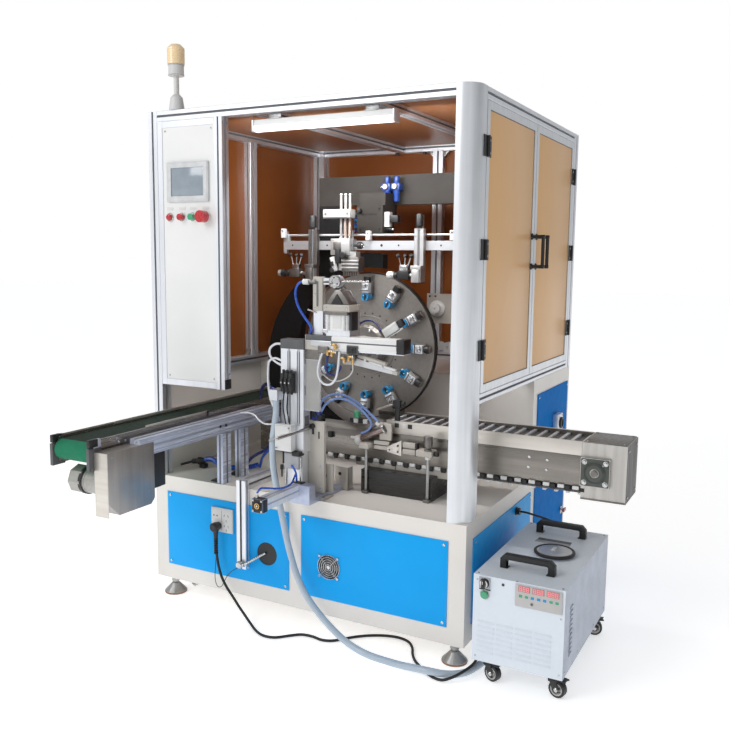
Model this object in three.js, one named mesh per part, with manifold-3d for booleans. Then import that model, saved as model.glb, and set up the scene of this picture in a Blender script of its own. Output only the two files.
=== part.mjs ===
// Rotary UV print and cure machine with its wheeled cooling unit, in millimetres, +Z up
import * as THREE from 'three';
import { mergeVertices } from 'three/addons/utils/BufferGeometryUtils.js';
import Module from 'manifold-3d';

const wasm = await Module();
wasm.setup();

// Clearance kept between pieces that touch, and how far every cut runs past the face it opens
const clearance = 0.3;
const overrun = 5;
const roundSides = 24;
const smallSides = 12;

// Base cabinet: X runs along the front, Y into the machine, Z up from the floor
const baseWidth = 1200;
const baseDepth = 1130;
const floorGap = 70;
const tableHeight = 452;
const conveyorRise = 245;
const conveyorTop = tableHeight + conveyorRise;
const passageRoom = 107;
const rearHeight = conveyorTop + passageRoom;
const rearStart = 640;
const baseWall = 12;
const panelMargin = 56;
const panelMiddle = 48;
const panelThick = 3;
const rearPanelEdge = 27;

// Enclosure frame
const frameTop = 1723;
const beamHeight = 35;
const beamWidth = 40;
const leftPostWidth = 40;
const leftPostDepth = 45;
const rearPostDepth = 60;
const cornerPostWidth = 64;
const cornerPostDepth = 80;
const cornerPostRadius = 52;
const railHeight = 30;
const ceilingRailShares = [0.367, 0.717];
const leftMidPostPlace = 561;
const rearMidPostPlace = 615;
const midPostWidth = 46;
const wallSetback = 4;
const wallThick = 4;
const roofDrop = 10;

// Doors on the right side
const doorThick = 20;
const doorGap = 4;
const doorStile = 24;
const doorAngleRoom = 2;
const doorOpeningLow = rearHeight + clearance + railHeight;
const doorOpeningHigh = frameTop - beamHeight;
const hingeShares = [0.155, 0.5, 0.845];
const hingeHeights = hingeShares.map((share) => doorOpeningLow + share * (doorOpeningHigh - doorOpeningLow));

// Control cabinet at the front left
const controlRight = 316;
const controlDrop = 20;
const controlBottom = rearHeight - controlDrop;
const controlDepth = 36;
const buttonDrop = 357;
const buttonHeight = frameTop - buttonDrop;

// Dial
const dialRadius = 261;
const dialX = 640;
const dialY = 430;
const dialRise = 466;
const dialZ = tableHeight + dialRise;
const dialThick = 18;
const stationCount = 12;
const hubRadius = 80;

// Infeed conveyor along X
const infeedFront = 215;
const infeedBack = 365;
const infeedStart = 720;
const infeedPlateHeight = 137;
const infeedPlateBottom = conveyorTop - infeedPlateHeight;
const infeedTop = conveyorTop;
const shaftBeyond = 323;
const infeedShaftX = baseWidth + shaftBeyond;
const infeedShaftDrop = 86;
const infeedShaftZ = conveyorTop - infeedShaftDrop;
const driveBoxBeyond = 280;
const driveBoxLength = 132;
const driveBoxStart = baseWidth + driveBoxBeyond;
const driveBoxEnd = driveBoxStart + driveBoxLength;
const driveBoxHeight = 174;
const driveBoxBottom = conveyorTop - driveBoxHeight;

// Outfeed conveyor along Y
const outfeedLeft = 100;
const outfeedRight = 242;
const outfeedNear = -525;
const outfeedFar = 570;
const outfeedDrop = 77;
const outfeedBottom = conveyorTop - outfeedDrop;
const outfeedRise = 3;
const outfeedTop = conveyorTop + outfeedRise;

// Cooling unit on casters
const coolerBeyond = 45;
const coolerLeft = baseWidth + coolerBeyond;
const coolerWidth = 268;
const coolerFront = -50;
const coolerDepth = 540;
const coolerBottom = 72;
const coolerTop = 333;

const paint = (color, roughness, metalness = 0) => (
  new THREE.MeshStandardMaterial({ color, roughness, metalness })
);
const finish = {
  cream: paint(0xe9e4dc, 0.45),
  blue: paint(0x1f8fe0, 0.4),
  aluminium: paint(0xd5dae2, 0.35, 0.8),
  steel: paint(0xa9a49c, 0.35, 0.9),
  darkSteel: paint(0x6a6763, 0.45, 0.8),
  white: paint(0xf1f1ef, 0.4),
  black: paint(0x141416, 0.5),
  amber: paint(0x9c5a22, 0.25),
  green: paint(0x1b7d55, 0.6),
  red: paint(0xc22230, 0.4),
  grey: paint(0x9a9c9e, 0.5),
  lens: paint(0xf0dcb8, 0.3),
  glass: paint(0x9fb0b8, 0.15),
};

// Keep each triangle once, drop flat ones and turn the whole surface outwards
function cleanTriangles(positions, index) {
  const kept = [];
  for (let i = 0; i < index.length; i += 3) {
    const [a, b, c] = [index[i], index[i + 1], index[i + 2]];
    if (a !== b && b !== c && c !== a) kept.push(a, b, c);
  }
  const corner = (i) => new THREE.Vector3().fromArray(positions, 3 * i);
  let volume = 0;
  for (let i = 0; i < kept.length; i += 3) {
    volume += corner(kept[i]).dot(corner(kept[i + 1]).cross(corner(kept[i + 2])));
  }
  if (volume < 0) kept.reverse();
  return Uint32Array.from(kept);
}

// A closed three.js geometry as a solid that can be joined and cut
function solidOf(geometry) {
  const bare = geometry.clone();
  for (const name of Object.keys(bare.attributes)) {
    if (name !== 'position') bare.deleteAttribute(name);
  }
  const merged = mergeVertices(bare);
  const vertProperties = Float32Array.from(merged.attributes.position.array);
  const triVerts = cleanTriangles(vertProperties, merged.index.array);
  return new wasm.Manifold(new wasm.Mesh({ numProp: 3, vertProperties, triVerts }));
}

function geometryOf(solid) {
  const { vertProperties, triVerts } = solid.getMesh();
  const geometry = new THREE.BufferGeometry();
  geometry.setAttribute('position', new THREE.BufferAttribute(vertProperties, 3));
  geometry.setIndex(new THREE.BufferAttribute(triVerts, 1));
  return geometry.toNonIndexed();
}

const join = (...solids) => solids.flat().reduce((whole, solid) => whole.add(solid));
const cut = (solid, ...tools) => tools.flat().reduce((whole, tool) => whole.subtract(tool), solid);

// A block from its low corner to its high corner
function block(low, high) {
  const size = high.map((value, i) => value - low[i]);
  const geometry = new THREE.BoxGeometry(...size);
  geometry.translate(...low.map((value, i) => value + size[i] / 2));
  return solidOf(geometry);
}

// The turn that takes a shape's own X, Y and Z to the directions that an axis name asks for
function basisFor(axis) {
  const [x, y, z] = [[1, 0, 0], [0, 1, 0], [0, 0, 1]].map((v) => new THREE.Vector3(...v));
  if (axis === 'x') return new THREE.Matrix4().makeBasis(y, z, x);
  if (axis === 'y') return new THREE.Matrix4().makeBasis(x, z, y.clone().negate());
  return new THREE.Matrix4().makeBasis(x, y, z);
}

// An outline extruded along an axis: its points are (y, z), (x, z) or (x, y) for axis x, y or z
function prism(axis, outline, from, to) {
  const isShape = outline instanceof THREE.Shape;
  const shape = isShape ? outline : new THREE.Shape(outline.map((p) => new THREE.Vector2(...p)));
  const settings = { depth: to - from, bevelEnabled: false, curveSegments: roundSides };
  const geometry = new THREE.ExtrudeGeometry(shape, settings);
  geometry.applyMatrix4(basisFor(axis));
  if (axis === 'x') geometry.translate(from, 0, 0);
  if (axis === 'y') geometry.translate(0, to, 0);
  if (axis === 'z') geometry.translate(0, 0, from);
  return solidOf(geometry);
}

// A turned piece: pairs of radius and distance along the axis, from a point on that axis
function turned(axis, origin, profile, sides = roundSides) {
  const points = profile.map(([radius, along]) => new THREE.Vector2(radius, along));
  const geometry = new THREE.LatheGeometry(points, sides);
  if (axis === 'x') geometry.rotateZ(-Math.PI / 2);
  if (axis === 'z') geometry.rotateX(Math.PI / 2);
  geometry.translate(...origin);
  return solidOf(geometry);
}

// A plain round rod that starts at a point and runs along an axis
function rod(axis, start, radius, length, sides = roundSides) {
  return turned(axis, start, [[0, 0], [radius, 0], [radius, length], [0, length]], sides);
}

// Add one named sub-part whose own origin is at the given place
function addPart(group, name, solid, material, place = [0, 0, 0]) {
  const geometry = geometryOf(solid);
  geometry.translate(...place.map((value) => -value));
  geometry.computeVertexNormals();
  const mesh = new THREE.Mesh(geometry, material);
  mesh.name = name;
  mesh.position.set(...place);
  group.add(mesh);
  return mesh;
}

// Base cabinet: an open-bottomed shell with a low table in front and a taller rear part
function buildBase() {
  const group = new THREE.Group();
  const padSize = 92;
  const padThick = 8;
  const shell = join(
    block([0, 0, floorGap], [baseWidth, baseDepth, tableHeight]),
    block([0, rearStart, floorGap], [baseWidth, baseDepth, rearHeight]),
  );
  const inside = [baseWidth - baseWall, baseDepth - baseWall];
  const rooms = [
    block([baseWall, baseWall, floorGap - overrun], [...inside, tableHeight - baseWall]),
    block([baseWall, rearStart + baseWall, floorGap - overrun], [...inside, rearHeight - baseWall]),
  ];
  const pads = [0, baseWidth - padSize].flatMap((x) => [0, baseDepth - padSize].map(
    (y) => block([x, y, floorGap], [x + padSize, y + padSize, floorGap + padThick]),
  ));
  const sheetThick = 4;
  const sheetInset = 8;
  const sheetStart = 45;
  const sideSheet = block(
    [sheetInset, sheetStart + clearance, tableHeight - baseWall / 2],
    [sheetInset + sheetThick, rearStart + baseWall / 2, rearHeight],
  );
  addPart(group, 'base_cabinet', join(cut(shell, rooms), pads, sideSheet), finish.cream);

  const panelLow = floorGap + panelMargin;
  const panelHigh = tableHeight - panelMargin;
  const middle = [(baseWidth - panelMiddle) / 2, (baseWidth + panelMiddle) / 2];
  const faceY = [-clearance - panelThick, -clearance];
  const socketPlate = socketSolid(faceY[0]);
  const leftPanel = block([panelMargin, faceY[0], panelLow], [middle[0], faceY[1], panelHigh]);
  addPart(group, 'front_panel_left', join(leftPanel, socketPlate, strutSolid(faceY[0])), finish.blue);
  const rightPanel = block([middle[1], faceY[0], panelLow], [baseWidth - panelMargin, faceY[1], panelHigh]);
  addPart(group, 'front_panel_right', join(rightPanel, fanSolid(faceY[0])), finish.blue);

  const faceX = [baseWidth + clearance, baseWidth + clearance + panelThick];
  const sideFront = block([faceX[0], panelMargin, panelLow], [faceX[1], rearStart, panelHigh]);
  const grommet = turned('x', [faceX[1] - panelThick / 2, linkOutY, linkOutZ], [
    [0, 0], [linkRadius * grommetShare, 0], [linkRadius + clearance, grommetReach], [0, grommetReach],
  ], smallSides);
  addPart(group, 'side_panel_front', join(sideFront, grommet), finish.blue);
  const sideRear = block(
    [faceX[0], rearStart + panelMiddle, panelLow],
    [faceX[1], baseDepth - rearPanelEdge, rearHeight - panelMargin],
  );
  addPart(group, 'side_panel_rear', sideRear, finish.blue);
  addFeet(group);
  return group;
}

// Where the link cable leaves the machine's right side, through a tapered grommet
const linkOutY = 470;
const linkOutDrop = 80;
const linkOutZ = tableHeight - linkOutDrop;
const linkRadius = 3.5;
const grommetShare = 2.4;
const grommetReach = 16;

// Mains socket plate on the left front panel
const socketLeft = 259;
const socketRight = 351;
const socketDrop = 167;
const socketBottom = tableHeight - socketDrop;
const socketHeight = 86;
const socketTop = socketBottom + socketHeight;
const socketThick = 8;

function socketSolid(faceY) {
  const back = faceY + panelThick / 2;
  return block([socketLeft, faceY - socketThick, socketBottom], [socketRight, back, socketTop]);
}

// Upright profile that carries the cable port's clamp knob, on the left front panel
const strutLeft = 378;
const strutWidth = 38;
const strutDepth = 22;
const strutBottom = 176;
const strutRise = 33;
const strutTop = tableHeight + strutRise;

function strutSolid(faceY) {
  const knobRadius = 11;
  const knobReach = 18;
  const knobHeight = strutBottom + knobReach;
  const bar = block(
    [strutLeft, faceY - strutDepth, strutBottom],
    [strutLeft + strutWidth, faceY + panelThick / 2, strutTop],
  );
  const knobX = strutLeft + strutWidth / 2;
  const knob = rod('y', [knobX, faceY - strutDepth - knobReach, knobHeight], knobRadius, 2 * knobReach);
  return join(bar, knob);
}

// Cooling fan guard on the right front panel
function fanSolid(faceY) {
  const fanX = 731;
  const fanZ = 238;
  const fanRadius = 44;
  const guardThick = 6;
  return rod('y', [fanX, faceY - guardThick, fanZ], fanRadius, guardThick + panelThick / 2);
}

// Levelling feet under the four corners
function addFeet(group) {
  const footInset = 45;
  const bellRadius = 40;
  const bellEdge = 8;
  const neckRadius = 14;
  const stemRadius = 8;
  const nutRadius = 15;
  const nutShares = [0.62, 0.8];
  const bellTopShare = 0.5;
  const feet = [
    { name: 'foot_front_left', x: footInset, y: footInset },
    { name: 'foot_front_right', x: baseWidth - footInset, y: footInset },
    { name: 'foot_rear_left', x: footInset, y: baseDepth - footInset },
    { name: 'foot_rear_right', x: baseWidth - footInset, y: baseDepth - footInset },
  ];
  for (const { name, x, y } of feet) {
    const profile = [
      [0, 0], [bellRadius, 0], [bellRadius, bellEdge], [neckRadius, floorGap * bellTopShare],
      [stemRadius, floorGap * bellTopShare], [stemRadius, floorGap * nutShares[0]],
      [nutRadius, floorGap * nutShares[0]], [nutRadius, floorGap * nutShares[1]],
      [stemRadius, floorGap * nutShares[1]], [stemRadius, floorGap - clearance], [0, floorGap - clearance],
    ];
    addPart(group, name, turned('z', [x, y, 0], profile), finish.steel, [x, y, 0]);
  }
}

// Enclosure: the bolted aluminium frame, the rounded corner post and the amber walls and roof
function buildEnclosure() {
  const group = new THREE.Group();
  const beamLow = frameTop - beamHeight;
  const standLow = tableHeight + clearance;
  const railLow = rearHeight + clearance;
  const railTop = railLow + railHeight;
  const wallInner = wallSetback + wallThick + clearance;
  const ceilingTop = frameTop - roofDrop - clearance;
  const cornerX = baseWidth - cornerPostWidth;

  const posts = [
    block([0, 0, standLow], [leftPostWidth, leftPostDepth, frameTop]),
    block([0, baseDepth - rearPostDepth, railLow], [rearPostDepth, baseDepth, frameTop]),
    block([baseWidth - beamWidth, baseDepth - rearPostDepth, railLow], [baseWidth, baseDepth, frameTop]),
    block(
      [wallInner, leftMidPostPlace - midPostWidth / 2, railLow],
      [beamWidth, leftMidPostPlace + midPostWidth / 2, frameTop],
    ),
    block(
      [rearMidPostPlace - midPostWidth / 2, baseDepth - beamWidth, railLow],
      [rearMidPostPlace + midPostWidth / 2, baseDepth - wallInner, frameTop],
    ),
  ];
  const beams = [
    block([0, 0, beamLow], [cornerX - clearance, beamWidth, frameTop]),
    block([0, 0, beamLow], [beamWidth, baseDepth, frameTop]),
    block([0, baseDepth - beamWidth, beamLow], [baseWidth, baseDepth, frameTop]),
    block([baseWidth - beamWidth, cornerPostDepth + clearance, beamLow], [baseWidth, baseDepth, frameTop]),
    ...ceilingRailShares.map((share) => share * baseWidth).map((x) => block(
      [x - beamWidth / 2, beamWidth / 2, beamLow],
      [x + beamWidth / 2, baseDepth - beamWidth / 2, ceilingTop],
    )),
  ];
  const rails = [
    block([0, 0, railLow], [beamWidth, baseDepth, railTop]),
    block([0, baseDepth - beamWidth, railLow], [baseWidth, baseDepth, railTop]),
    block([baseWidth - beamWidth, cornerPostDepth + clearance, railLow], [baseWidth, baseDepth, railTop]),
  ];
  addPart(group, 'enclosure_frame', join(posts, beams, rails, rearHinges()), finish.aluminium);
  addPart(group, 'corner_post', cornerPostSolid(standLow), finish.aluminium);

  const roofLow = frameTop - roofDrop;
  const roof = block(
    [beamWidth + clearance, beamWidth + clearance, roofLow],
    [baseWidth - beamWidth - clearance, baseDepth - beamWidth - clearance, roofLow + wallThick],
  );
  const postRooms = [
    block(
      [cornerX - clearance, -overrun, roofLow - overrun],
      [baseWidth + overrun, cornerPostDepth + clearance, frameTop + overrun],
    ),
    block(
      [-overrun, baseDepth - rearPostDepth - clearance, roofLow - overrun],
      [rearPostDepth + clearance, baseDepth + overrun, frameTop + overrun],
    ),
    block(
      [-overrun, -overrun, roofLow - overrun],
      [leftPostWidth + clearance, leftPostDepth + clearance, frameTop + overrun],
    ),
  ];
  addPart(group, 'roof_panel', cut(roof, postRooms), finish.amber);
  const wallTop = beamLow - clearance;
  const leftWall = block(
    [wallSetback, leftPostDepth + clearance, railTop + clearance],
    [wallSetback + wallThick, baseDepth - rearPostDepth - clearance, wallTop],
  );
  addPart(group, 'left_wall_panel', leftWall, finish.amber);
  const rearWall = block(
    [rearPostDepth + clearance, baseDepth - wallSetback - wallThick, railTop + clearance],
    [baseWidth - beamWidth - clearance, baseDepth - wallSetback, wallTop],
  );
  addPart(group, 'rear_wall_panel', rearWall, finish.amber);
  addDoors(group, railTop, beamLow);
  return group;
}

// Rounded front right corner post with a slot down each inner face
function cornerPostSolid(standLow) {
  const slotWidth = 8;
  const slotDepth = 7;
  const x = [baseWidth - cornerPostWidth, baseWidth];
  const outline = new THREE.Shape();
  outline.moveTo(x[0], 0);
  outline.lineTo(x[1] - cornerPostRadius, 0);
  outline.absarc(x[1] - cornerPostRadius, cornerPostRadius, cornerPostRadius, -Math.PI / 2, 0, false);
  outline.lineTo(x[1], cornerPostDepth);
  outline.lineTo(x[0], cornerPostDepth);
  const length = [standLow, frameTop];
  const middleX = (x[0] + x[1]) / 2;
  const middleY = cornerPostDepth / 2;
  const past = [length[0] - overrun, length[1] + overrun];
  const slots = [
    block(
      [x[0] - overrun, middleY - slotWidth / 2, past[0]],
      [x[0] + slotDepth, middleY + slotWidth / 2, past[1]],
    ),
    block(
      [middleX - slotWidth / 2, cornerPostDepth - slotDepth, past[0]],
      [middleX + slotWidth / 2, cornerPostDepth + overrun, past[1]],
    ),
  ];
  const line = cornerPostDepth + doorGap / 2;
  const leaves = hingeHeights.map((z) => hingeHalf(line, -1, -1, z));
  return join(cut(prism('z', outline, ...length), slots), leaves);
}

// Lift-off door hinges: the post carries the lower knuckle and the door the upper one
const hingeHeight = 60;
const hingeWidth = 30;
const hingeThick = 4;
const hingeRadius = 5;
const hingeReach = 6;

// One half: its leaf lies beyond the line on the given side, and its knuckle below (-1) or above (1)
function hingeHalf(line, side, half, z) {
  const sunk = 1;
  const leafInner = hingeRadius + hingeReach / 3;
  const leafY = [line + side * leafInner, line + side * hingeWidth];
  const tongueY = [line, line + side * (leafInner + sunk)];
  const knuckleZ = [z + half * clearance / 2, z + half * hingeHeight / 2];
  const leaf = block(
    [baseWidth - sunk, Math.min(...leafY), z - hingeHeight / 2],
    [baseWidth + hingeThick, Math.max(...leafY), z + hingeHeight / 2],
  );
  const tongue = block(
    [baseWidth + clearance, Math.min(...tongueY), Math.min(...knuckleZ)],
    [baseWidth + hingeThick, Math.max(...tongueY), Math.max(...knuckleZ)],
  );
  const start = [baseWidth + hingeReach, line, Math.min(...knuckleZ)];
  return join(leaf, tongue, rod('z', start, hingeRadius, hingeHeight / 2 - clearance / 2, smallSides));
}

function rearHinges() {
  const line = baseDepth - rearPostDepth - doorGap / 2;
  return hingeHeights.map((z) => hingeHalf(line, 1, -1, z));
}

// Two side doors, each an aluminium frame round a recessed amber panel, with its pull handle
function addDoors(group, railTop, beamLow) {
  const start = cornerPostDepth + doorGap;
  const end = baseDepth - rearPostDepth - doorGap;
  const middle = (start + end) / 2;
  const height = [railTop + doorAngleRoom, beamLow - doorAngleRoom];
  const recess = 4;
  const handleLength = 101;
  const handleMiddle = (height[0] + height[1]) / 2;
  const handleHeights = [handleMiddle - handleLength / 2, handleMiddle + handleLength / 2];
  const handleReach = 40;
  const handleRadius = 6;
  const meet = [middle - doorGap / 2, middle + doorGap / 2];
  const hingeLine = [start - doorGap / 2, end + doorGap / 2];
  const handleLine = [meet[0] - doorStile, meet[1] + doorStile];
  const doors = [
    { name: 'side_door_front', fromY: start, toY: meet[0], hingeY: hingeLine[0], handleY: handleLine[0] },
    { name: 'side_door_rear', fromY: meet[1], toY: end, hingeY: hingeLine[1], handleY: handleLine[1] },
  ];
  for (const { name, fromY, toY, hingeY, handleY } of doors) {
    const slab = block([baseWidth - doorThick, fromY, height[0]], [baseWidth, toY, height[1]]);
    const hollow = block(
      [baseWidth - recess, fromY + doorStile, height[0] + doorStile],
      [baseWidth + overrun, toY - doorStile, height[1] - doorStile],
    );
    const side = hingeY < fromY ? 1 : -1;
    const leaves = hingeHeights.map((z) => hingeHalf(hingeY, side, 1, z));
    const feet = handleHeights.map((z) => rod(
      'x', [baseWidth - recess, handleY, z], handleRadius, recess + handleReach, smallSides,
    ));
    const grip = rod(
      'z', [baseWidth + handleReach, handleY, handleHeights[0] - handleRadius],
      handleRadius, handleHeights[1] - handleHeights[0] + 2 * handleRadius, smallSides,
    );
    const pivot = [baseWidth + hingeReach, hingeY, height[0]];
    addPart(group, name, join(cut(slab, hollow), leaves, feet, grip), finish.amber, pivot);
  }
}

// Control cabinet: a shallow tray behind a flush panel with a screen and push buttons
function buildControls() {
  const group = new THREE.Group();
  const left = leftPostWidth + clearance;
  const top = frameTop - beamHeight - clearance;
  const rim = 22;
  const rightRim = 34;
  const backThick = 4;
  const plateThick = 3;
  const plateFront = 2;
  const tray = block([left, 0, controlBottom], [controlRight, controlDepth, top]);
  const pocket = block(
    [left + rim, -overrun, controlBottom + rim],
    [controlRight - rightRim, controlDepth - backThick, top - rim],
  );
  addPart(group, 'control_cabinet', cut(tray, pocket), finish.aluminium);

  const capRadius = 11;
  const capReach = 9;
  const mushroomRadius = 20;
  const mushroomReach = 26;
  const stopX = 144;
  const startX = 191;
  const emergencyX = 245;
  const collarRadius = 15;
  const collarReach = 5;
  const buttons = [
    { name: 'stop_button', x: stopX, headRadius: capRadius, reach: capReach, color: finish.red },
    { name: 'start_button', x: startX, headRadius: capRadius, reach: capReach, color: finish.green },
    {
      name: 'emergency_stop', x: emergencyX, headRadius: mushroomRadius,
      reach: mushroomReach, color: finish.red,
    },
  ];
  const plate = block(
    [left + rim + clearance, plateFront, controlBottom + rim + clearance],
    [controlRight - rightRim - clearance, plateFront + plateThick, top - rim - clearance],
  );
  const collars = buttons.map(({ x }) => cut(
    rod('y', [x, plateFront - collarReach, buttonHeight], collarRadius, collarReach + plateThick / 2),
    rod(
      'y', [x, plateFront - collarReach - overrun, buttonHeight], capRadius + clearance, collarReach + overrun,
    ),
  ));
  addPart(group, 'control_panel', join(plate, collars), finish.white);

  const screenLeft = 84;
  const screenRight = 260;
  const screenHeight = 132;
  const screenAbove = 51;
  const screenBottom = buttonHeight + screenAbove;
  const screenTop = screenBottom + screenHeight;
  const bezel = 14;
  const screenThick = 8;
  const screenSunk = 2;
  const screenBack = plateFront - clearance;
  const screenFront = screenBack - screenThick;
  const screen = cut(
    block([screenLeft, screenFront, screenBottom], [screenRight, screenBack, screenTop]),
    block(
      [screenLeft + bezel, screenFront - overrun, screenBottom + bezel],
      [screenRight - bezel, screenFront + screenSunk, screenTop - bezel],
    ),
  );
  addPart(group, 'touch_screen', screen, finish.grey);

  const travel = 4;
  const stemLength = 6;
  for (const { name, x, headRadius, reach, color } of buttons) {
    const stemEnd = plateFront - travel - clearance;
    const headEnd = plateFront - collarReach - travel - clearance;
    const capFront = stemEnd - stemLength - reach;
    const mushroom = [
      [0, headEnd - reach], [headRadius, headEnd - reach], [headRadius, headEnd],
      [capRadius, headEnd], [capRadius, stemEnd], [0, stemEnd],
    ];
    const plain = [[0, capFront], [headRadius, capFront], [headRadius, stemEnd], [0, stemEnd]];
    const profile = headRadius > capRadius ? mushroom : plain;
    addPart(group, name, turned('y', [x, 0, buttonHeight], profile), color, [x, plateFront, buttonHeight]);
  }
  return group;
}

// Signal tower on the top beam and the lamp under it
function buildTopFittings() {
  const group = new THREE.Group();
  const towerX = 112;
  const towerY = beamWidth / 2;
  const ballRadius = 26;
  const ballHeight = 54;
  const poleRadius = 9;
  const poleTop = 113;
  const cupRadius = 26;
  const cupTop = 150;
  const lensRadius = 29;
  const lensTop = 214;
  const lensRound = 12;
  const flangeThick = 6;
  const flangeShare = 0.78;
  const pole = turned('z', [towerX, towerY, frameTop + clearance], [
    [0, 0], [ballRadius, 0], [ballRadius, flangeThick], [ballRadius * flangeShare, ballHeight * flangeShare],
    [poleRadius, ballHeight], [poleRadius, poleTop], [cupRadius, poleTop], [cupRadius, cupTop], [0, cupTop],
  ]);
  addPart(group, 'signal_pole', pole, finish.grey, [towerX, towerY, frameTop + clearance]);
  const lens = turned('z', [towerX, towerY, frameTop + cupTop + 2 * clearance], [
    [0, 0], [lensRadius, 0], [lensRadius, lensTop - cupTop - lensRound],
    [lensRadius - lensRound, lensTop - cupTop], [0, lensTop - cupTop],
  ]);
  addPart(group, 'signal_lens', lens, finish.lens, [towerX, towerY, frameTop + cupTop]);

  const lampLeft = 431;
  const lampRight = 942;
  const lampFront = 4;
  const lampBack = 44;
  const lampDrop = 54;
  const lampHeight = 38;
  const lampTop = frameTop - lampDrop;
  const lampBottom = lampTop - lampHeight;
  const strapWidth = 44;
  const strapThick = 3;
  const strapInset = 60;
  const body = block([lampLeft, lampFront, lampBottom], [lampRight, lampBack, lampTop]);
  const straps = [lampLeft + strapInset, lampRight - strapInset - strapWidth].map((x) => block(
    [x, beamWidth / 2, lampTop - strapThick],
    [x + strapWidth, beamWidth / 2 + strapThick, frameTop - beamHeight - clearance],
  ));
  addPart(group, 'lamp_fixture', join(body, straps), finish.white);
  return group;
}

// Black arch behind the dial, its column, the grey beam across the top and the beam's far column
const archFront = 578;
const archThick = 38;
const archX = 548;
const archDrop = 118;
const archZ = dialZ - archDrop;
const archRadius = 455;
const archHoleX = 565;
const archHoleDrop = 38;
const archHoleZ = dialZ - archHoleDrop;
const archHoleRadius = 320;
const archRight = 620;
const columnLeft = 338;
const columnRight = 441;
const beamRoom = 183;
const beamDeep = 108;
const beamTopHeight = frameTop - beamRoom;
const beamLowHeight = beamTopHeight - beamDeep;
const farColumnLeft = 900;
const farColumnRight = 960;
const columnFoot = 50;
const headRailBack = 415;
const headRailRise = 345;
const headRailLow = dialZ + headRailRise;
const headRailDeep = 32;
const headRailHigh = headRailLow + headRailDeep;

function supportFrameSolid() {
  const standLow = tableHeight + clearance;
  const archBack = archFront + archThick;
  const disc = rod('y', [archX, archFront, archZ], archRadius, archThick, 2 * roundSides);
  const hole = rod(
    'y', [archHoleX, archFront - overrun, archHoleZ], archHoleRadius, archThick + 2 * overrun, 2 * roundSides,
  );
  const spread = archRadius + overrun;
  const below = block(
    [archX - spread, archFront - overrun, archZ - spread],
    [archX + spread, archBack + overrun, standLow],
  );
  const beyond = block(
    [archRight, archFront - overrun, archZ - spread],
    [archX + spread, archBack + overrun, archZ + spread],
  );
  const arch = cut(disc, hole, below, beyond);
  const columnLow = archHoleZ + archHoleRadius / 2;
  const column = block([columnLeft, archFront, columnLow], [columnRight, archBack, beamTopHeight]);
  const beam = block([columnLeft, archFront, beamLowHeight], [farColumnRight, archBack, beamTopHeight]);
  const farColumn = block(
    [farColumnLeft, archFront, rearHeight + clearance],
    [farColumnRight, rearStart + columnFoot, beamTopHeight],
  );
  const trimmedColumn = cut(column, hole);
  const armPlaces = [[columnLeft, columnRight - columnFoot], [farColumnLeft, farColumnRight]];
  const arms = armPlaces.map(([from, to]) => block(
    [from, headRailBack + clearance, headRailLow], [to, archFront + archThick / 2, headRailHigh],
  ));
  return join(arch, trimmedColumn, beam, farColumn, arms, headMotor());
}

// Motor housing that hangs in front of the grey beam
function headMotor() {
  const motorLeft = 560;
  const motorRight = 665;
  const motorFront = 480;
  const motorDrop = 7;
  const motorHeight = 100;
  const motorHigh = beamLowHeight - motorDrop;
  const motorLow = motorHigh - motorHeight;
  const neckFront = 500;
  const reach = archFront + archThick / 2;
  const neckTop = beamLowHeight + archThick;
  return join(
    block([motorLeft, motorFront, motorLow], [motorRight, archFront, motorHigh]),
    block([motorLeft, neckFront, motorHigh - archThick], [motorRight, reach, neckTop]),
  );
}

// Indexing dial: bearing pedestal, hub and plate with its ring of part holders
function buildDial() {
  const group = new THREE.Group();
  addPart(group, 'support_frame', supportFrameSolid(), finish.black);

  const plateBack = dialY + dialThick;
  const flangeThick = 20;
  const flangeRadius = 95;
  const shaftRadius = 28;
  const neckRadius = 34;
  const hubReach = 40;
  const hubStep = 10;
  const bearingFront = plateBack + flangeThick + 2 * clearance;
  const bearingBack = archFront - clearance;
  const pedestalHalf = 80;
  const bossRadius = 100;
  const pedestalFront = bearingFront + flangeThick;
  const pedestal = block(
    [dialX - pedestalHalf, pedestalFront, tableHeight + clearance],
    [dialX + pedestalHalf, bearingBack, dialZ],
  );
  const boss = rod('y', [dialX, bearingFront, dialZ], bossRadius, bearingBack - bearingFront);
  const bore = rod(
    'y', [dialX, bearingFront - overrun, dialZ],
    shaftRadius + clearance, bearingBack - bearingFront + 2 * overrun,
  );
  addPart(group, 'dial_bearing', cut(join(pedestal, boss), bore), finish.darkSteel);

  const along = (y) => y - dialY;
  const hub = turned('y', [dialX, dialY, dialZ], [
    [0, -hubReach], [hubRadius - hubStep, -hubReach], [hubRadius, -hubReach + hubStep],
    [hubRadius, -clearance],
    [neckRadius, -clearance], [neckRadius, dialThick + clearance], [flangeRadius, dialThick + clearance],
    [flangeRadius, dialThick + flangeThick], [shaftRadius, dialThick + flangeThick],
    [shaftRadius, along(bearingBack - flangeThick)], [0, along(bearingBack - flangeThick)],
  ]);
  addPart(group, 'dial_hub', hub, finish.darkSteel, [dialX, dialY, dialZ]);

  const rimThick = 8;
  const rimExtra = 5;
  const disc = join(
    rod('y', [dialX, dialY, dialZ], dialRadius, dialThick, 2 * roundSides),
    rod('y', [dialX, plateBack - rimThick, dialZ], dialRadius + rimExtra, rimThick, 2 * roundSides),
  );
  const centreHole = rod(
    'y', [dialX, dialY - overrun, dialZ], neckRadius + clearance, dialThick + 2 * overrun,
  );
  const holders = [];
  for (let station = 0; station < stationCount; station += 1) {
    holders.push(holderSolid(station * 360 / stationCount));
  }
  addPart(group, 'dial_plate', join(cut(disc, centreHole), holders), finish.steel, [dialX, dialY, dialZ]);
  return group;
}

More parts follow.
